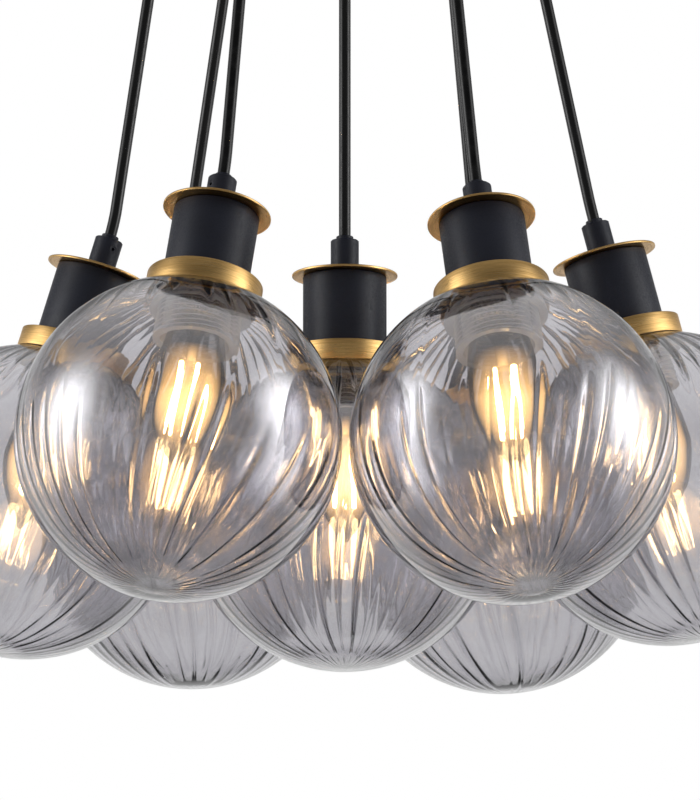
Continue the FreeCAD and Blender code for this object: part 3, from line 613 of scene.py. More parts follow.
def rounded(corners: Sequence[Corner], steps: int = 4) -> np.ndarray:
    """Round the corners of a closed outline.

    A corner between two sides becomes an arc that touches both. It starts and ends at the
    rounding over the tangent of half the corner's angle, and its centre lies on the angle's
    bisector.

    Args:
        corners: the outline, clockwise with the axis at its left.
        steps: how many straight steps an arc has.

    Returns:
        The outline's points as rows of (across, up).
    """
    points: list[np.ndarray] = []
    spots = [np.array((c.across, c.up)) for c in corners]
    for i, corner in enumerate(corners):
        spot = spots[i]
        back = spots[i - 1] - spot
        ahead = spots[(i + 1) % len(spots)] - spot
        back, ahead = back / np.linalg.norm(back), ahead / np.linalg.norm(ahead)
        bisector = back + ahead
        if corner.rounding <= 0.0 or np.linalg.norm(bisector) < NO_LENGTH:
            points.append(spot)
            continue
        half = 0.5 * math.acos(float(np.clip(back @ ahead, -1.0, 1.0)))
        centre = spot + bisector / np.linalg.norm(bisector) * corner.rounding / math.sin(half)
        first = spot + back * corner.rounding / math.tan(half) - centre
        last = spot + ahead * corner.rounding / math.tan(half) - centre
        sweep = math.pi - 2.0 * half
        for step in range(steps + 1):
            share = step / steps
            turned = first * math.sin((1.0 - share) * sweep) + last * math.sin(share * sweep)
            points.append(centre + turned / math.sin(sweep))
    return np.array(points)


def arc(start: Sequence[float], end: Sequence[float], radius: float, steps: int) -> np.ndarray:
    """Points of the short arc from start to end that bulges to the left of its way.

    The centre lies on the chord's perpendicular bisector, and the points are evenly spaced in
    angle about it.

    Args:
        start: first point, (across, up).
        end: last point.
        radius: the arc's radius.
        steps: how many straight steps it has.

    Returns:
        Rows of (across, up), with both ends.
    """
    first, last = np.array(start, float), np.array(end, float)
    chord = last - first
    length = float(np.linalg.norm(chord))
    left = np.array((-chord[1], chord[0])) / length
    centre = (first + last) / 2.0 - left * math.sqrt(max(radius**2 - length**2 / 4.0, 0.0))
    angles = [math.atan2(*(spot - centre)[::-1]) for spot in (first, last)]
    swing = (angles[1] - angles[0] + math.pi) % FULL_TURN - math.pi
    around = angles[0] + swing * np.linspace(0.0, 1.0, steps + 1)
    return centre + radius * np.column_stack((np.cos(around), np.sin(around)))


def turned(outline: np.ndarray, columns: int, middle: Sequence[float] = (0.0, 0.0)) -> np.ndarray:
    """Turn an outline about the upright axis through middle.

    A point is (across cos a, across sin a, up), for a column's angle a.

    Args:
        outline: rows of (across, up), clockwise with the axis at their left.
        columns: how many columns there are round the axis.
        middle: the axis' place.

    Returns:
        Points as rows, columns and (x, y, z).
    """
    angles = FULL_TURN * np.arange(columns) / columns
    across, up = outline[:, :1], outline[:, 1:]
    parts = (
        middle[0] + across * np.cos(angles),
        middle[1] + across * np.sin(angles),
        up + 0.0 * angles,
    )
    return np.stack(parts, axis=-1)


def swept(path: np.ndarray, radius: float, columns: int) -> np.ndarray:
    """Carry a circle along a path, and close both ends in a point.

    The circle lies across the path's direction, and its first axis is that direction crossed
    with ASIDE.

    Args:
        path: rows of (x, y, z).
        radius: the circle's radius.
        columns: how many columns there are round the path.

    Returns:
        Points as rows, columns and (x, y, z).
    """
    along = np.gradient(path, axis=0)
    along /= np.linalg.norm(along, axis=1, keepdims=True)
    across = np.cross(along, ASIDE)
    across /= np.linalg.norm(across, axis=1, keepdims=True)
    other = np.cross(along, across)
    angles = FULL_TURN * np.arange(columns) / columns
    circle = across[:, None] * np.cos(angles)[:, None] + other[:, None] * np.sin(angles)[:, None]
    rings = path[:, None] + radius * circle
    first = np.repeat(path[:1, None], columns, axis=1)
    last = np.repeat(path[-1:, None], columns, axis=1)
    return np.concatenate((first, rings, last))[::-1]


class Surface:
    """A mesh gathered from grids of points, each closed round its columns."""

    def __init__(self) -> None:
        """Start with no points."""
        self.points: list[np.ndarray] = []
        self.faces: list[np.ndarray] = []
        self.materials: list[np.ndarray] = []
        self.tints: list[np.ndarray] = []
        self.count = 0

    def add(
        self,
        grid: np.ndarray,
        closed: bool = False,
        material: int = 0,
        tint: np.ndarray | None = None,
    ) -> "Surface":
        """Add a grid of points.

        A face joins the points (row, column), (next row, column), (next row, next column) and
        (row, next column), so that an outline that runs clockwise faces outwards.

        Args:
            grid: points as rows, columns and (x, y, z), in millimetres.
            closed: whether the last row joins the first.
            material: which of the piece's finishes it has.
            tint: how tinted each point is, from 0 to 1. Plain when left out.

        Returns:
            The surface itself.
        """
        rows, columns = grid.shape[:2]
        index = self.count + np.arange(rows * columns).reshape(rows, columns)
        after = np.roll(index, -1, axis=0) if closed else index[1:]
        before = index if closed else index[:-1]
        corners = (before, after, np.roll(after, -1, axis=1), np.roll(before, -1, axis=1))
        faces = np.stack(corners, axis=-1).reshape(-1, 4)
        self.points.append(grid.reshape(-1, 3))
        self.faces.append(faces)
        self.materials.append(np.full(len(faces), material))
        self.tints.append(np.full(rows * columns, PLAIN_TINT) if tint is None else tint.ravel())
        self.count += rows * columns
        return self

    def mesh(self, name: str, placement: Matrix) -> bpy.types.Mesh:
        """Make the mesh where its lamp hangs, and keep each point's own place on it.

        Args:
            name: the mesh's name.
            placement: turns the surface's own frame, in metres, to the room's.

        Returns:
            The mesh, with its poles closed and its sharp edges marked.
        """
        points = np.concatenate(self.points) * MM
        faces = np.concatenate(self.faces)
        made = bpy.data.meshes.new(name)
        made.vertices.add(len(points))
        made.loops.add(faces.size)
        made.polygons.add(len(faces))
        made.loops.foreach_set("vertex_index", faces.ravel().astype(np.int32))
        made.polygons.foreach_set("loop_start", np.arange(0, faces.size, faces.shape[1], dtype=np.int32))
        made.polygons.foreach_set("material_index", np.concatenate(self.materials).astype(np.int32))
        turn = np.array(placement.to_3x3())
        placed = points @ turn.T + np.array(placement.translation)
        made.vertices.foreach_set("co", placed.astype(np.float32).ravel())
        own = made.attributes.new(PLACE, "FLOAT_VECTOR", "POINT")
        own.data.foreach_set("vector", points.astype(np.float32).ravel())
        round_axis = np.column_stack((-points[:, 1], points[:, 0], np.zeros(len(points))))
        brushed = made.attributes.new(AROUND, "FLOAT_VECTOR", "POINT")
        brushed.data.foreach_set("vector", (round_axis @ turn.T).astype(np.float32).ravel())
        tinted = made.attributes.new(TINT, "FLOAT", "POINT")
        tinted.data.foreach_set("value", np.concatenate(self.tints).astype(np.float32))
        made.update(calc_edges=True)
        close_poles(made)
        made.shade_smooth()
        made.set_sharp_from_angle(angle=SHARP_EDGE)
        return made


def close_poles(mesh: bpy.types.Mesh) -> None:
    """Merge the points that lie on each other, and drop what has no area left.

    Args:
        mesh: the mesh.
    """
    shape = bmesh.new()
    shape.from_mesh(mesh)
    bmesh.ops.remove_doubles(shape, verts=shape.verts, dist=MERGE_DISTANCE)
    bmesh.ops.dissolve_degenerate(shape, dist=MERGE_DISTANCE, edges=shape.edges)
    shape.to_mesh(mesh)
    shape.free()


def make_piece(
    name: str,
    data: bpy.types.ID,
    body: str,
    nodes: Sequence[str],
    finishes: Sequence[Finish],
) -> bpy.types.Object:
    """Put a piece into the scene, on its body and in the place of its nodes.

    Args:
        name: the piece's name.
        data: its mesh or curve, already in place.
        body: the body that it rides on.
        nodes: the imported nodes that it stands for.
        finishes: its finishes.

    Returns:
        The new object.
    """
    piece = bpy.data.objects.new(name, data)
    bpy.context.scene.collection.objects.link(piece)
    for finish in finishes:
        data.materials.append(finish.material())
    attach(piece, body)
    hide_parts(*nodes)
    LOG.info("%s: rides on %s", name, body)
    return piece


# ------------------------------------------------------------------ how the lamps hang


@dataclass(frozen=True)
class UprightBox:
    """A piece of the upright middle lamp as packed: its radius, foot and head.

    Heights are in millimetres from the globe's centre.
    """

    radius: float
    foot: float
    head: float

    @classmethod
    def of(cls, piece: str) -> "UprightBox":
        """Read a piece's box.

        Args:
            piece: the piece's name without its lamp's.

        Returns:
            Its radius, foot and head.
        """
        low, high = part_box(f"centre_{piece}")
        glass_low, glass_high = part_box("centre_globe")
        centre = glass_low.z + (glass_high.x - glass_low.x) / 2.0
        return cls((high.x - low.x) / 2.0 / MM, (low.z - centre) / MM, (high.z - centre) / MM)


@dataclass(frozen=True)
class Hang:
    """How one lamp hangs.

    azimuth, reach and lift place its globe about the middle one's. lean tilts its axis towards
    the middle, turn leads that lean aside, and spin turns the lamp about its own axis. gland
    is the azimuth of its gland in the canopy, and None for the middle lamp.
    """

    name: str
    gland: float | None
    azimuth: float
    reach: float
    lift: float
    lean: float
    turn: float
    spin: float
    drop: float = 338.0

    @property
    def body(self) -> str:
        """The body that the lamp's pieces ride on."""
        return f"{self.name}_lamp"

    def node(self, piece: str) -> str:
        """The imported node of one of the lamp's pieces."""
        return f"{self.name}_{piece}"

    def placement(self, spins: bool = True) -> Matrix:
        """Turn the lamp's own frame to the room's, in metres.

        Args:
            spins: whether the piece has the lamp's own spin. The bulb hasn't, as it is screwed
                in until it stops.

        Returns:
            The placement.
        """
        around = math.radians(self.azimuth)
        across, aside = self.reach * math.cos(around), self.reach * math.sin(around)
        centre = Vector((across, aside, self.lift - self.drop))
        inward = math.radians(self.azimuth + self.turn)
        axis = Vector((math.sin(inward), -math.cos(inward), 0.0))
        tilt = Matrix.Rotation(math.radians(self.lean), 4, axis)
        spin = math.radians(self.spin) if spins else 0.0
        return Matrix.Translation(centre * MM) @ tilt @ Matrix.Rotation(spin, 4, "Z")

    def on_axis(self, up: float) -> Vector:
        """The room's place, in metres, of a point on the lamp's axis."""
        return self.placement() @ Vector((0.0, 0.0, up * MM))


# Each lamp's name, gland, azimuth, reach, lift, lean, turn and spin.
HANGS = (
    Hang("centre", None, 0.0, 0.0, 0.0, 0.0, 0.0, 100.0),
    Hang("right", 0.0, 0.0, 153.0, 12.5, 14.4, -1.5, 60.0),
    Hang("back_right", 54.0, 59.5, 152.0, 9.5, 15.0, 12.0, 20.0),
    Hang("back_left", 130.0, 120.0, 152.0, 12.0, 16.5, -34.0, 150.0),
    Hang("left", 180.0, 180.0, 150.8, 6.0, 16.6, 0.0, -57.0),
    Hang("front_left", 240.0, 240.0, 151.6, 11.0, 15.4, -3.0, 222.0),
    Hang("front_right", 302.0, 300.5, 151.6, 10.0, 17.0, -7.0, 80.0),
)


# ------------------------------------------------------------------ the pieces of a lamp


@dataclass
class GlassGlobe:
    """Blown globe with ribs on the inside of its wall and a plain foot.

    rib_heights gives a rib's height by the angle down from the neck. The foot's ring closes
    the ribs off. The wall's tint fades over bare_fade and is gone at bare_angle.
    """

    wall: float = 2.4
    hole: float = 20.6
    ribs: int = 40
    rib_depth: float = 1.0
    rib_width: float = 0.15
    rib_width_shift: float = 0.4
    rib_angle_shift: float = 9.0
    rib_crowding: float = 1.8
    rib_heights: tuple[tuple[float, float], ...] = (
        (18.0, 0.0),
        (28.0, 1.1),
        (46.0, 0.5),
        (60.0, 0.03),
        (92.0, 0.03),
        (104.0, 0.6),
        (130.0, 0.5),
        (150.0, 0.45),
        (160.0, 0.1),
        (168.0, 0.0),
    )
    foot_ring_angle: float = 164.0
    foot_ring_width: float = 5.0
    foot_ring_depth: float = 0.35
    bare_angle: float = 171.0
    bare_fade: float = 9.0
    weakest: float = 0.1
    strongest: float = 1.4
    strength_power: float = 1.7
    sway: float = 0.5
    inset: float = 0.03
    columns_per_rib: int = 12
    rows: int = 72
    lip_rows: int = 6
    seed: int = 11

    def columns(self) -> np.ndarray:
        """The columns' places across one rib, from -1 to 1, crowded at its crest by a power."""
        even = np.linspace(-1.0, 1.0, self.columns_per_rib, endpoint=False)
        return np.sign(even) * np.abs(even) ** self.rib_crowding

    def relief(self, polar: np.ndarray, lamp: int) -> np.ndarray:
        """How far the ribs and the foot's ring stand in from the wall.

        Each rib is a narrow bell curve round the axis, with the plain wall between it and the
        next. Its height follows the polar angle through rib_heights. Its strength, its width
        and the angles where it starts and ends differ from rib to rib. The ring is a bell
        curve of the polar angle, whose middle differs at each rib.

        Args:
            polar: angle down from the neck's pole, as a column.
            lamp: the lamp's number, which gives its globe its own unevenness.

        Returns:
            Heights from 0 to about 1, as rows and columns.
        """
        draw = np.random.default_rng(self.seed + lamp)
        uneven = draw.uniform(0.0, 1.0, (3, self.ribs))
        share, wide, late = np.repeat(uneven, self.columns_per_rib, axis=1)
        strength = self.weakest + (self.strongest - self.weakest) * share**self.strength_power
        width = self.rib_width * (1.0 + self.rib_width_shift * (2.0 * wide - 1.0))
        bell = strength * np.exp(-((np.tile(self.columns(), self.ribs) / 2.0 / width) ** 2))
        down = np.degrees(polar)
        height = np.interp(down + self.rib_angle_shift * (2.0 * late - 1.0), *zip(*self.rib_heights))
        away = (down - self.foot_ring_angle) / self.foot_ring_width + bell
        return height * bell + self.foot_ring_depth * np.exp(-(away**2))

    def wall_surface(self, radius: float, lamp: int) -> Surface:
        """The whole wall, from the inner pole up, over the lip and down outside.

        A point is its distance from the centre times (sin p cos a, sin p sin a, cos p), for the
        polar angle p and the angle a round the axis. The columns sway together with a sine of
        the polar angle. The lip is a half circle across the wall. The tint is halfway on the
        plain wall, grows with the relief inside, and fades evenly to none towards the foot.

        Args:
            radius: the globe's radius.
            lamp: the lamp's number.

        Returns:
            The wall, whose inside is the second finish.
        """
        half = self.wall / 2.0
        neck = math.asin((self.hole + half) / radius)
        down = np.linspace(neck, math.pi, self.rows)[:, None]
        relief = self.relief(down, lamp)
        ribbed = radius - self.wall - self.rib_depth * relief
        plain = np.full(relief.shape, radius)
        bend = np.linspace(0.0, math.pi, self.lip_rows + 2)[1:-1, None]
        lip = radius - half - half * np.cos(bend) + 0.0 * plain[:1]
        distance = np.concatenate((ribbed[::-1], lip, plain))
        polar = np.concatenate((down[::-1], neck - half * np.sin(bend) / radius, down))
        crests = np.arange(self.ribs)[:, None] + self.columns() / 2.0
        sway = self.sway * np.sin(2.0 * polar + lamp)
        around = FULL_TURN / self.ribs * (crests.ravel() + sway)
        level = 0.0 * around
        parts = (np.sin(polar) * np.cos(around), np.sin(polar) * np.sin(around), np.cos(polar) + level)
        grid = distance[..., None] * np.stack(parts, axis=-1)
        coat = np.clip((self.bare_angle - np.degrees(polar)) / self.bare_fade, 0.0, 1.0) + level
        tint = PLAIN_TINT * coat
        inner = slice(0, self.rows)
        tint[inner] += (1.0 - PLAIN_TINT) * np.clip(relief[::-1], 0.0, 1.0) * coat[inner]
        outer = slice(self.rows - 1, None)
        return Surface().add(grid[inner], material=1, tint=tint[inner]).add(grid[outer], tint=tint[outer])

    def build(self, hang: Hang, lamp: int) -> None:
        """Make the globe of one lamp.

        Args:
            hang: how the lamp hangs.
            lamp: the lamp's number.
        """
        surface = self.wall_surface(UprightBox.of("globe").radius - self.inset, lamp)
        mesh = surface.mesh(hang.node("globe_glass"), hang.placement())
        finishes = [FINISHES.smoke, FINISHES.smoke_inside]
        make_piece(mesh.name, mesh, hang.body, [hang.node("globe")], finishes)


@dataclass
class MetalTrim:
    """The turned metal pieces on top of the globe: brass collar, black cup, brass disc."""

    columns: int = 128
    collar_bore: float = 18.2
    seat_gap: float = 0.15
    seat_steps: int = 8
    cup_wall: float = 1.2
    thread_hole: float = 5.1
    edge: float = 0.35
    cup_edge: float = 0.8

    def collar(self) -> np.ndarray:
        """Outline of the collar, whose hollowed foot follows the globe.

        Returns:
            Its points as rows of (across, up).
        """
        box = UprightBox.of("collar")
        seat = UprightBox.of("globe").radius + self.seat_gap
        rim, bore = math.asin(box.radius / seat), math.asin(self.collar_bore / seat)
        angles = np.linspace(rim, bore, self.seat_steps)
        foot = [Corner(seat * math.sin(a), seat * math.cos(a)) for a in angles[1:]]
        corners = [
            Corner(self.collar_bore, box.head, self.edge),
            Corner(box.radius, box.head, self.edge),
            Corner(box.radius, seat * math.cos(rim), self.edge),
        ]
        return rounded(corners + foot)

    def cup(self) -> np.ndarray:
        """Outline of the cup, open below.

        Returns:
            Its points as rows of (across, up).
        """
        box = UprightBox.of("holder_cup")
        inside, roof = box.radius - self.cup_wall, box.head - self.cup_wall
        return rounded(
            [
                Corner(self.thread_hole, box.head),
                Corner(box.radius, box.head, self.cup_edge),
                Corner(box.radius, box.foot, self.edge),
                Corner(inside, box.foot, self.edge),
                Corner(inside, roof, self.edge),
                Corner(self.thread_hole, roof),
            ]
        )

    def disc(self) -> np.ndarray:
        """Outline of the thin disc on the cup.

        Returns:
            Its points as rows of (across, up).
        """
        box = UprightBox.of("disc")
        return rounded(
            [
                Corner(self.thread_hole, box.head),
                Corner(box.radius, box.head, self.edge),
                Corner(box.radius, box.foot, self.edge),
                Corner(self.thread_hole, box.foot),
            ]
        )

    def build(self, hang: Hang) -> None:
        """Make the three pieces for one lamp.

        Args:
            hang: how the lamp hangs.
        """
        pieces = (
            ("collar", "collar_ring", self.collar(), FINISHES.brass),
            ("holder_cup", "cup_shell", self.cup(), FINISHES.powder),
            ("disc", "disc_plate", self.disc(), FINISHES.brass),
        )
        for node, name, outline, finish in pieces:
            surface = Surface().add(turned(outline, self.columns), closed=True)
            mesh = surface.mesh(hang.node(name), hang.placement())
            make_piece(mesh.name, mesh, hang.body, [hang.node(node)], [finish])


@dataclass
class Lampholder:
    """Lampholder: clear threaded skirt and clamp ring, black body, metal shell and thread."""

    columns: int = 96
    crest: float = 19.7
    thread_depth: float = 0.8
    pitch: float = 2.2
    skirt_bore: float = 16.2
    rows_per_turn: int = 8
    rim_height: float = 1.4
    rim_share: float = 0.5
    shoulder: float = 72.32
    holder_height: float = 31.0
    holder_radius: float = 17.8
    holder_top_radius: float = 15.0
    holder_taper: float = 3.0
    shell_floor: float = 85.92
    shell_radius: float = 14.1
    shell_length: float = 22.5
    shell_wall: float = 0.6
    shell_hole: float = 0.8
    shell_edge: float = 0.5
    ring_height: float = 4.0
    ring_gap: float = 0.15
    glass_wall: float = 2.55
    thread_radius: float = 5.0
    thread_bore: float = 3.4
    thread_start: float = 97.3
    nut_width: float = 14.0
    nut_height: float = 4.0
    nut_sides: int = 6
    edge: float = 0.3

    def skirt(self) -> np.ndarray:
        """Points of the skirt: up the bore, over the shoulder and down the outer thread.

        The thread's radius is its crest less its depth times a cosine that turns once for each
        pitch of height and once round the axis, so it climbs as a real thread does. It fades
        out at the rim and at the shoulder.

        Returns:
            Points as rows, columns and (x, y, z).
        """
        foot = UprightBox.of("lampholder").foot
        turns = (self.shoulder - foot) / self.pitch
        up = np.linspace(self.shoulder, foot, int(turns * self.rows_per_turn))[:, None]
        angles = FULL_TURN * np.arange(self.columns) / self.columns
        wave = 0.5 + 0.5 * np.cos(FULL_TURN * (up - foot) / self.pitch - angles[None])
        inwards = np.minimum(up - foot, self.shoulder - up) / self.rim_height
        fade = np.clip(inwards - self.rim_share, 0.0, 1.0)
        across = self.crest - self.thread_depth * wave * fade
        outside = np.stack((across * np.cos(angles), across * np.sin(angles), up + 0.0 * angles), axis=-1)
        bore = turned(np.array(((self.skirt_bore, foot), (self.skirt_bore, self.shoulder))), self.columns)
        return np.concatenate((bore, outside))

    def clamp_ring(self) -> np.ndarray:
        """Outline of the ring that clamps the glass from inside.

        Returns:
            Its points as rows of (across, up).
        """
        outer = UprightBox.of("lampholder").radius
        inner = self.crest + self.ring_gap
        top = math.sqrt((UprightBox.of("globe").radius - self.glass_wall) ** 2 - outer**2)
        foot = top - self.ring_height
        return rounded(
            [
                Corner(inner, top, self.edge),
                Corner(outer, top, self.edge),
                Corner(outer, foot, self.edge),
                Corner(inner, foot, self.edge),
            ]
        )

    def body(self) -> np.ndarray:
        """Outline of the black body inside the cup.

        Returns:
            Its points as rows of (across, up).
        """
        head = self.shoulder + self.holder_height
        return rounded(
            [
                Corner(self.thread_radius, head),
                Corner(self.holder_top_radius, head, self.edge),
                Corner(self.holder_radius, head - self.holder_taper, self.edge),
                Corner(self.holder_radius, self.shoulder),
                Corner(self.skirt_bore, self.shoulder),
                Corner(self.skirt_bore, self.shell_floor),
                Corner(self.thread_radius, self.shell_floor),
            ]
        )

    def metal(self, surface: Surface) -> Surface:
        """Add the screw shell, the hollow thread and its hexagon nut.

        Args:
            surface: what they are added to.

        Returns:
            The same surface.
        """
        inside = self.shell_radius - self.shell_wall
        shell_foot = self.shell_floor - self.shell_length
        shell = rounded(
            [
                Corner(self.shell_hole, self.shell_floor),
                Corner(self.shell_radius, self.shell_floor, self.shell_edge),
                Corner(self.shell_radius, shell_foot),
                Corner(inside, shell_foot),
                Corner(inside, self.shell_floor - self.shell_wall, self.shell_edge),
                Corner(self.shell_hole, self.shell_floor - self.shell_wall),
            ]
        )
        head = UprightBox.of("lampholder").head
        thread = rounded(
            [
                Corner(self.thread_bore, head, self.edge),
                Corner(self.thread_radius, head, self.edge),
                Corner(self.thread_radius, self.thread_start, self.edge),
                Corner(self.thread_bore, self.thread_start, self.edge),
            ]
        )
        nut_head = UprightBox.of("holder_cup").head - MetalTrim.cup_wall
        corner = self.nut_width / math.sqrt(3.0)
        nut = rounded(
            [
                Corner(self.thread_radius, nut_head),
                Corner(corner, nut_head),
                Corner(corner, nut_head - self.nut_height),
                Corner(self.thread_radius, nut_head - self.nut_height),
            ]
        )
        surface.add(turned(shell, self.columns), closed=True)
        surface.add(turned(thread, self.columns // 2), closed=True)
        return surface.add(turned(nut, self.nut_sides), closed=True)

    def build(self, hang: Hang) -> None:
        """Make the lampholder's pieces for one lamp.

        Args:
            hang: how the lamp hangs.
        """
        clear = Surface().add(self.skirt(), closed=True)
        clear.add(turned(self.clamp_ring(), self.columns), closed=True)
        black = Surface().add(turned(self.body(), self.columns), closed=True)
        parts = (
            ("holder_skirt", clear, FINISHES.clear),
            ("holder_body", black, FINISHES.phenolic),
            ("holder_metal", self.metal(Surface()), FINISHES.nickel),
        )
        for name, surface, finish in parts:
            mesh = surface.mesh(hang.node(name), hang.placement())
            make_piece(mesh.name, mesh, hang.body, [hang.node("lampholder")], [finish])


@dataclass
class CandleBulb:
    """Candle bulb: thin glass, screw cap, glass stem, wires and glowing rods.

    The glass is bowed in three arcs, each with its radius as a multiple of its height. A wire's
    points are shares of the rods' ring and heights above the rod's end.
    """

    columns: int = 64
    cap_base: float = 60.0
    cap_radius: float = 13.2
    cap_length: float = 21.5
    cap_pitch: float = 3.6
    cap_depth: float = 0.5
    cap_rows: int = 48
    cap_fade: float = 3.0
    cap_rim_share: float = 0.4
    insulator_radius: float = 9.0
    contact_radius: float = 4.5
    contact_height: float = 0.8
    insulator_rise: float = 1.0
    belly_height: float = 33.0
    tip_radius: float = 2.2
    tip_height: float = 2.4
    neck_radius: float = 12.0
    neck_bow: float = 4.3
    flank_bow: float = 1.55
    tip_bow: float = 1.3
    stem_radius: float = 3.0
    stem_length: float = 22.0
    flare_radius: float = 9.5
    flare_power: int = 4
    rod_radius: float = 1.3
    rod_length: float = 34.0
    rod_ring: float = 6.2
    rod_count: int = 4
    rod_columns: int = 12
    rod_end: float = 0.7
    hub_height: float = 1.2
    wire_radius: float = 0.22
    wire_columns: int = 8
    upper_wire: tuple[tuple[float, float], ...] = ((0.25, 2.2), (0.8, 1.0), (1.0, -0.3))
    lower_wire: tuple[tuple[float, float], ...] = ((1.0, 0.3), (0.8, -2.0), (0.06, -7.0))
    steps: int = 24

    def glass(self) -> np.ndarray:
        """Outline of the glass, from the cap down to the tip, in three arcs.

        Returns:
            Its points as rows of (across, up).
        """
        box = UprightBox.of("bulb")
        belly = (box.radius, box.foot + self.belly_height)
        small = (self.tip_radius, box.foot + self.tip_height)
        neck = (self.neck_radius, self.cap_base)
        upper = arc(neck, belly, self.neck_bow * (self.cap_base - belly[1]), self.steps)
        flank = arc(belly, small, self.flank_bow * self.belly_height, self.steps)
        tip = arc(small, (0.0, box.foot), self.tip_bow * self.tip_radius, self.steps // 4)
        return np.concatenate((upper, flank[1:], tip[1:]))

    def stem(self) -> np.ndarray:
        """Outline of the glass stem, which flares towards the cap by a power of the height.

        Returns:
            Its points as rows of (across, up).
        """
        foot = self.cap_base - self.stem_length
        up = np.linspace(0.0, 1.0, self.steps)
        across = self.stem_radius + (self.flare_radius - self.stem_radius) * up**self.flare_power
        flare = np.column_stack((across, foot + self.stem_length * up))[::-1]
        return np.concatenate((flare, ((0.0, foot),)))

    def cap(self) -> np.ndarray:
        """Points of the screw cap: its thread's radius follows a cosine of height and angle.

        Returns:
            Points as rows, columns and (x, y, z).
        """
        angles = FULL_TURN * np.arange(self.columns) / self.columns
        top = self.cap_base + self.cap_length
        up = np.linspace(top, self.cap_base, self.cap_rows)[:, None]
        wave = 0.5 + 0.5 * np.cos(FULL_TURN * up / self.cap_pitch - angles[None])
        inwards = np.minimum(up - self.cap_base, top - up) / self.cap_fade
        share = np.clip(inwards - self.cap_rim_share, 0.0, 1.0)
        across = self.cap_radius - self.cap_depth * wave * share
        side = np.stack((across * np.cos(angles), across * np.sin(angles), up + 0.0 * angles), axis=-1)
        contact = UprightBox.of("bulb").head
        crown = np.array(
            (
                (0.0, contact),
                (self.contact_radius, contact),
                (self.contact_radius, contact - self.contact_height),
                (self.insulator_radius, top + self.insulator_rise),
            )
        )
        floor = turned(np.array(((self.neck_radius, self.cap_base), (0.0, self.cap_base))), self.columns)
        return np.concatenate((turned(crown, self.columns), side, floor))

    def rod_places(self) -> list[tuple[float, float]]:
        """The rods' places about the bulb's axis."""
        turns = [FULL_TURN * (i + 0.5) / self.rod_count for i in range(self.rod_count)]
        return [(self.rod_ring * math.cos(t), self.rod_ring * math.sin(t)) for t in turns]

    def rods(self) -> Surface:
        """Make the glowing rods with rounded ends, upright round the bulb's axis.

        Returns:
            Their surface.
        """
        head = self.cap_base - self.stem_length - self.hub_height
        foot = head - self.rod_length
        outline = rounded(
            [
                Corner(0.0, head),
                Corner(self.rod_radius, head, self.rod_radius * self.rod_end),
                Corner(self.rod_radius, foot, self.rod_radius * self.rod_end),
                Corner(0.0, foot),
            ]
        )
        surface = Surface()
        for place in self.rod_places():
            surface.add(turned(outline, self.rod_columns, place))
        return surface

    def wires(self) -> Surface:
        """Make the wires from the stem to the rods' heads, and from their feet to one point.

        Returns:
            Their surface.
        """
        head = self.cap_base - self.stem_length - self.hub_height
        ends = ((head, self.upper_wire), (head - self.rod_length, self.lower_wire))
        surface = Surface()
        for x, y in self.rod_places():
            for end, wire in ends:
                path = np.array([(share * x, share * y, end + rise) for share, rise in wire])
                surface.add(swept(path, self.wire_radius, self.wire_columns))
        return surface

    def build(self, hang: Hang) -> None:
        """Make the bulb's pieces for one lamp. Its rods throw no light on matt surfaces.

        Args:
            hang: how the lamp hangs.
        """
        glass = Surface().add(turned(self.glass(), self.columns))
        glass.add(turned(self.stem(), self.columns // 2))
        parts = (
            ("bulb_glass", glass, FINISHES.lamp_glass),
            ("bulb_cap", Surface().add(self.cap()), FINISHES.nickel),
            ("bulb_rods", self.rods(), FINISHES.phosphor),
            ("bulb_wires", self.wires(), FINISHES.nickel),
        )
        for name, surface, finish in parts:
            mesh = surface.mesh(hang.node(name), hang.placement(spins=False))
            piece = make_piece(mesh.name, mesh, hang.body, [hang.node("bulb")], [finish])
            piece.visible_diffuse = finish is not FINISHES.phosphor


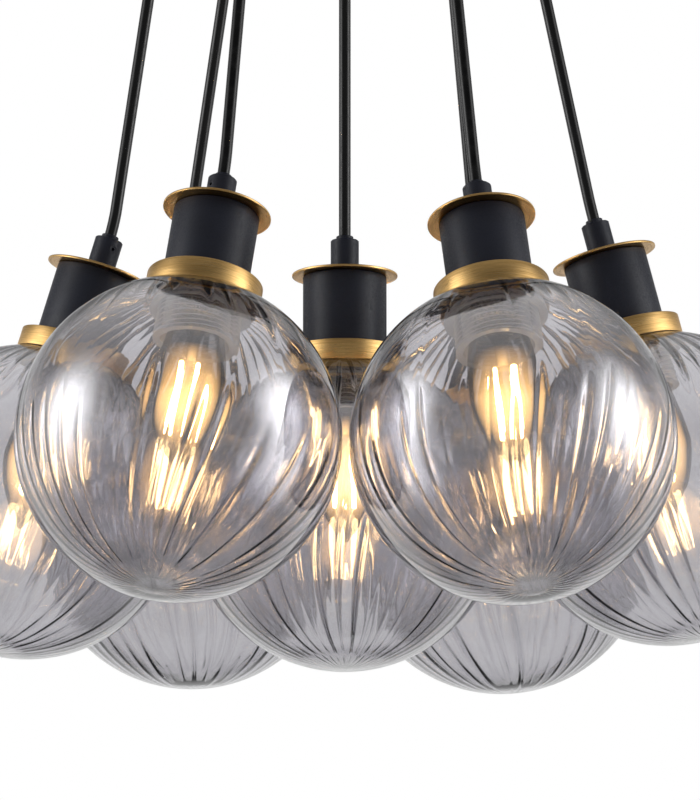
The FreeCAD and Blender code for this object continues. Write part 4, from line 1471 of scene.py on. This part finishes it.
@dataclass
class HangingCord:
    """The round cord of a lamp, from its gland to its grip."""

    radius: float = 2.85
    ring: float = 90.0
    pivot: float = -37.0
    exit_run: float = 14.0
    grip_run: float = 5.0
    bush_top: float = 135.1
    end_up: float = 124.6
    edge_run: float = 34.0
    resolution: int = 16
    roundness: int = 8
    lengths: dict[str, float] = field(
        default_factory=lambda: {
            "centre": 176.4,
            "right": 171.1,
            "back_right": 174.2,
            "back_left": 173.6,
            "left": 177.7,
            "front_left": 172.5,
            "front_right": 174.1,
        }
    )

    def route(self, hang: Hang) -> list[Vector]:
        """Give the cord's points: straight out of the gland, along a line and into the grip.

        The long stretch is straight, as it carries the lamp, so it has a point near each of
        its ends, as far from the corner as the corner's other point is. The middle cord hangs
        upright and needs only one point between its ends.

        Args:
            hang: how the lamp hangs.

        Returns:
            The points in metres.
        """
        end = hang.on_axis(self.end_up)
        if hang.gland is None:
            top = Vector((0.0, 0.0, self.pivot * MM))
            return [top, top - Vector((0.0, 0.0, self.edge_run * MM)), end]
        around = math.radians(hang.gland)
        top = Vector((self.ring * math.cos(around), self.ring * math.sin(around), self.pivot)) * MM
        below = top - Vector((0.0, 0.0, self.exit_run * MM))
        above = hang.on_axis(self.bush_top + self.grip_run)
        along = (above - below).normalized()
        near_top = below + along * self.exit_run * MM
        near_foot = above - along * (end - above).length
        return [top, below, near_top, near_foot, above, end]

    def build(self, hang: Hang) -> None:
        """Make one lamp's cord as a smooth curve.

        Args:
            hang: how the lamp hangs.
        """
        points = self.route(hang)
        curve = bpy.data.curves.new(hang.node("cord_run"), "CURVE")
        curve.dimensions = "3D"
        curve.resolution_u = self.resolution
        curve.bevel_depth = self.radius * MM
        curve.bevel_resolution = self.roundness
        curve.use_fill_caps = True
        line = curve.splines.new("NURBS")
        line.points.add(len(points) - 1)
        for spot, point in zip(line.points, points):
            spot.co = (*point, 1.0)
        line.order_u = 3
        line.use_endpoint_u = True
        piece = make_piece(curve.name, curve, hang.body, [hang.node("cord")], [FINISHES.pvc])


def dress_packed(node: str, finish: Finish) -> None:
    """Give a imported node, whose shape is right, a better material.

    Args:
        node: the node's name.
        finish: its finish.
    """
    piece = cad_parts[node]
    if not piece.material_slots:
        piece.data.materials.append(None)
    for holder in piece.material_slots:
        holder.material = finish.material()
    LOG.info("%s: packed shape, %s", node, finish.name)


@dataclass
class PackedPieces:
    """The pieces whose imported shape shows: the ceiling fitting and the cord grips."""

    cord_grip: Finish = FINISHES.powder
    ceiling: dict[str, Finish] = field(
        default_factory=lambda: {
            "canopy_cover": FINISHES.powder,
            "mounting_bracket": FINISHES.zinc,
            "cord_glands": FINISHES.nylon,
            "terminal_block": FINISHES.white_nylon,
        }
    )

    def build(self, hangs: Sequence[Hang]) -> None:
        """Dress them.

        Args:
            hangs: how each lamp hangs.
        """
        for node, finish in self.ceiling.items():
            dress_packed(node, finish)
        for hang in hangs:
            dress_packed(hang.node("cord_grip"), self.cord_grip)


# ------------------------------------------------------------------ studio


@dataclass
class Studio:
    """Camera, white surroundings, pale floor and two softboxes.

    studio_walls gives how bright the mirrored studio is by the upward share of a direction.
    softbox_middle is the middle of a softbox as a share of its width and of its height.
    """

    aim: tuple[float, float, float] = (2.5, 0.0, -282.7)
    distance: float = 3107.0
    elevation: float = 11.32
    focal_pixels: float = 6516.0
    tall_pixels: float = 800.0
    sensor: float = 36.0
    near: float = 100.0
    far: float = 50000.0
    floor_height: float = -2200.0
    floor_size: float = 36000.0
    paint: Finish = PaleFloor("pale_floor_paint", "", "#e9e9e9", 0.7, second="#e6e6e6", grain=6.0)
    fill: float = 0.6
    front: float = 0.38
    studio_walls: tuple[tuple[float, float], ...] = (
        (-1.0, 0.1),
        (-0.62, 0.06),
        (-0.4, 0.75),
        (-0.2, 1.0),
        (0.05, 0.75),
        (0.25, 0.6),
        (0.5, 0.25),
        (0.9, 0.8),
    )
    softbox_way: tuple[float, float, float] = (0.95, -0.2, 0.215)
    softbox_distance: float = 1500.0
    softbox_width: float = 2400.0
    softbox_tall: float = 2500.0
    softbox_radiance: float = 6.5
    softbox_middle: float = 0.5
    softbox_fade: float = 2.8

    def camera(self) -> None:
        """Set the camera below the cluster, looking a little upwards."""
        tilt = math.radians(self.elevation)
        way = Vector((0.0, math.cos(tilt), math.sin(tilt)))
        lens = bpy.data.cameras.new("camera")
        lens.sensor_width = self.sensor
        lens.lens = self.focal_pixels / self.tall_pixels * self.sensor
        lens.clip_start, lens.clip_end = self.near * MM, self.far * MM
        camera = bpy.data.objects.new("camera", lens)
        camera.location = (Vector(self.aim) - way * self.distance) * MM
        camera.rotation_euler = way.to_track_quat("-Z", "Y").to_euler()
        bpy.context.scene.collection.objects.link(camera)
        bpy.context.scene.camera = camera

    def world(self) -> None:
        """Make the surroundings white to the eye and soft to the rest.

        What is seen, and what is seen through glass, is white. What is mirrored is a studio: a
        backdrop that is white near its foot, dark below it and greyer above, pale overhead, and
        dimmer on the camera's side.
        """
        world = bpy.data.worlds.new("studio")
        world.use_nodes = True
        tree = world.node_tree
        tree.nodes.clear()
        seen, mirrorings = seen_rays(tree)
        mirrored = add_node(tree, "ShaderNodeMath", {"operation": "MINIMUM"}, {0: mirrorings, 1: 1.0})
        way = add_node(tree, "ShaderNodeTexCoord").outputs["Generated"]
        parts = add_node(tree, "ShaderNodeSeparateXYZ", feeds={0: way}).outputs
        feeds = {"Value": parts["Z"], "From Min": -1.0, "From Max": 1.0}
        up = add_node(tree, "ShaderNodeMapRange", feeds=feeds).outputs["Result"]
        walls = add_node(tree, "ShaderNodeValToRGB", feeds={"Fac": up})
        walls.color_ramp.interpolation = "EASE"
        stops = walls.color_ramp.elements
        for _ in self.studio_walls[2:]:
            stops.new(1.0)
        for stop, (height, level) in zip(stops, self.studio_walls):
            stop.position = (height + 1.0) / 2.0
            stop.color = (level, level, level, 1.0)
        feeds = {
            "Value": parts["Y"],
            "From Min": -1.0,
            "From Max": 1.0,
            "To Min": self.front,
            "To Max": 1.0,
        }
        depth = add_node(tree, "ShaderNodeMapRange", {"interpolation_type": "SMOOTHSTEP"}, feeds)
        feeds = {0: walls.outputs["Color"], 1: depth.outputs["Result"]}
        studio = add_node(tree, "ShaderNodeMath", {"operation": "MULTIPLY"}, feeds)
        plain = add_node(tree, "ShaderNodeMix", {"data_type": "FLOAT"}, {0: seen, 2: self.fill, 3: 1.0})
        feeds = {0: mirrored.outputs["Value"], 2: plain.outputs[0], 3: studio.outputs["Value"]}
        strength = add_node(tree, "ShaderNodeMix", {"data_type": "FLOAT"}, feeds)
        feeds = {"Color": WHITE, "Strength": strength.outputs[0]}
        light = add_node(tree, "ShaderNodeBackground", feeds=feeds)
        add_node(tree, "ShaderNodeOutputWorld", feeds={"Surface": light.outputs["Background"]})
        bpy.context.scene.world = world

    def softbox(self, side: Side) -> None:
        """Hang a softbox, brightest in its middle and dark at its edges.

        Its brightness is a power of how far a place still is from the edge.

        Args:
            side: the side that it stands on.
        """
        light = bpy.data.lights.new(f"softbox_{side.name.lower()}", "AREA")
        light.shape = "RECTANGLE"
        light.size, light.size_y = self.softbox_width * MM, self.softbox_tall * MM
        light.energy = self.softbox_radiance * math.pi * light.size * light.size_y
        light.use_nodes = True
        tree = light.node_tree
        tree.nodes.clear()
        spot = add_node(tree, "ShaderNodeNewGeometry").outputs["Parametric"]
        feeds = {0: spot, 1: (self.softbox_middle, self.softbox_middle, 0.0)}
        centred = add_node(tree, "ShaderNodeVectorMath", {"operation": "SUBTRACT"}, feeds)
        feeds = {0: centred.outputs["Vector"]}
        away = add_node(tree, "ShaderNodeVectorMath", {"operation": "LENGTH"}, feeds)
        feeds = {
            "Value": away.outputs["Value"],
            "From Min": 0.0,
            "From Max": self.softbox_middle,
            "To Min": 1.0,
            "To Max": 0.0,
        }
        fading = add_node(tree, "ShaderNodeMapRange", feeds=feeds)
        feeds = {0: fading.outputs["Result"], 1: self.softbox_fade}
        glow = add_node(tree, "ShaderNodeMath", {"operation": "POWER"}, feeds)
        feeds = {"Color": WHITE, "Strength": glow.outputs["Value"]}
        emission = add_node(tree, "ShaderNodeEmission", feeds=feeds)
        add_node(tree, "ShaderNodeOutputLight", feeds={"Surface": emission.outputs["Emission"]})
        lamp = bpy.data.objects.new(light.name, light)
        aim = Vector(self.aim)
        way = Vector(self.softbox_way)
        way.x *= side.value
        lamp.location = (aim + way.normalized() * self.softbox_distance) * MM
        lamp.rotation_euler = (-way).to_track_quat("-Z", "Y").to_euler()
        bpy.context.scene.collection.objects.link(lamp)

    def floor(self) -> None:
        """Lay the pale floor far below the pendant."""
        half, up = self.floor_size / 2.0 * MM, self.floor_height * MM
        mesh = bpy.data.meshes.new("floor")
        corners = [(-half, -half, up), (half, -half, up), (half, half, up), (-half, half, up)]
        mesh.from_pydata(corners, [], [(0, 1, 2, 3)])
        floor = bpy.data.objects.new("floor", mesh)
        bpy.context.scene.collection.objects.link(floor)
        mesh.materials.append(self.paint.material())
        floor.visible_glossy = False

    def build(self) -> None:
        """Set up the camera, the light and the floor."""
        scene = bpy.context.scene
        scene.view_settings.view_transform = "Standard"
        self.camera()
        self.world()
        self.floor()
        for side in Side:
            self.softbox(side)


def main() -> None:
    """Build the studio and the pendant."""
    logging.basicConfig(level=logging.INFO, format="%(message)s")
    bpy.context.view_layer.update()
    Studio().build()
    cord, globe, trim = HangingCord(), GlassGlobe(), MetalTrim()
    holder, bulb = Lampholder(), CandleBulb()
    for lamp, hang in enumerate(HANGS):
        cord.build(hang)
        globe.build(hang, lamp)
        trim.build(hang)
        holder.build(hang)
        bulb.build(hang)
    PackedPieces().build(HANGS)


if __name__ == "__main__":
    main()
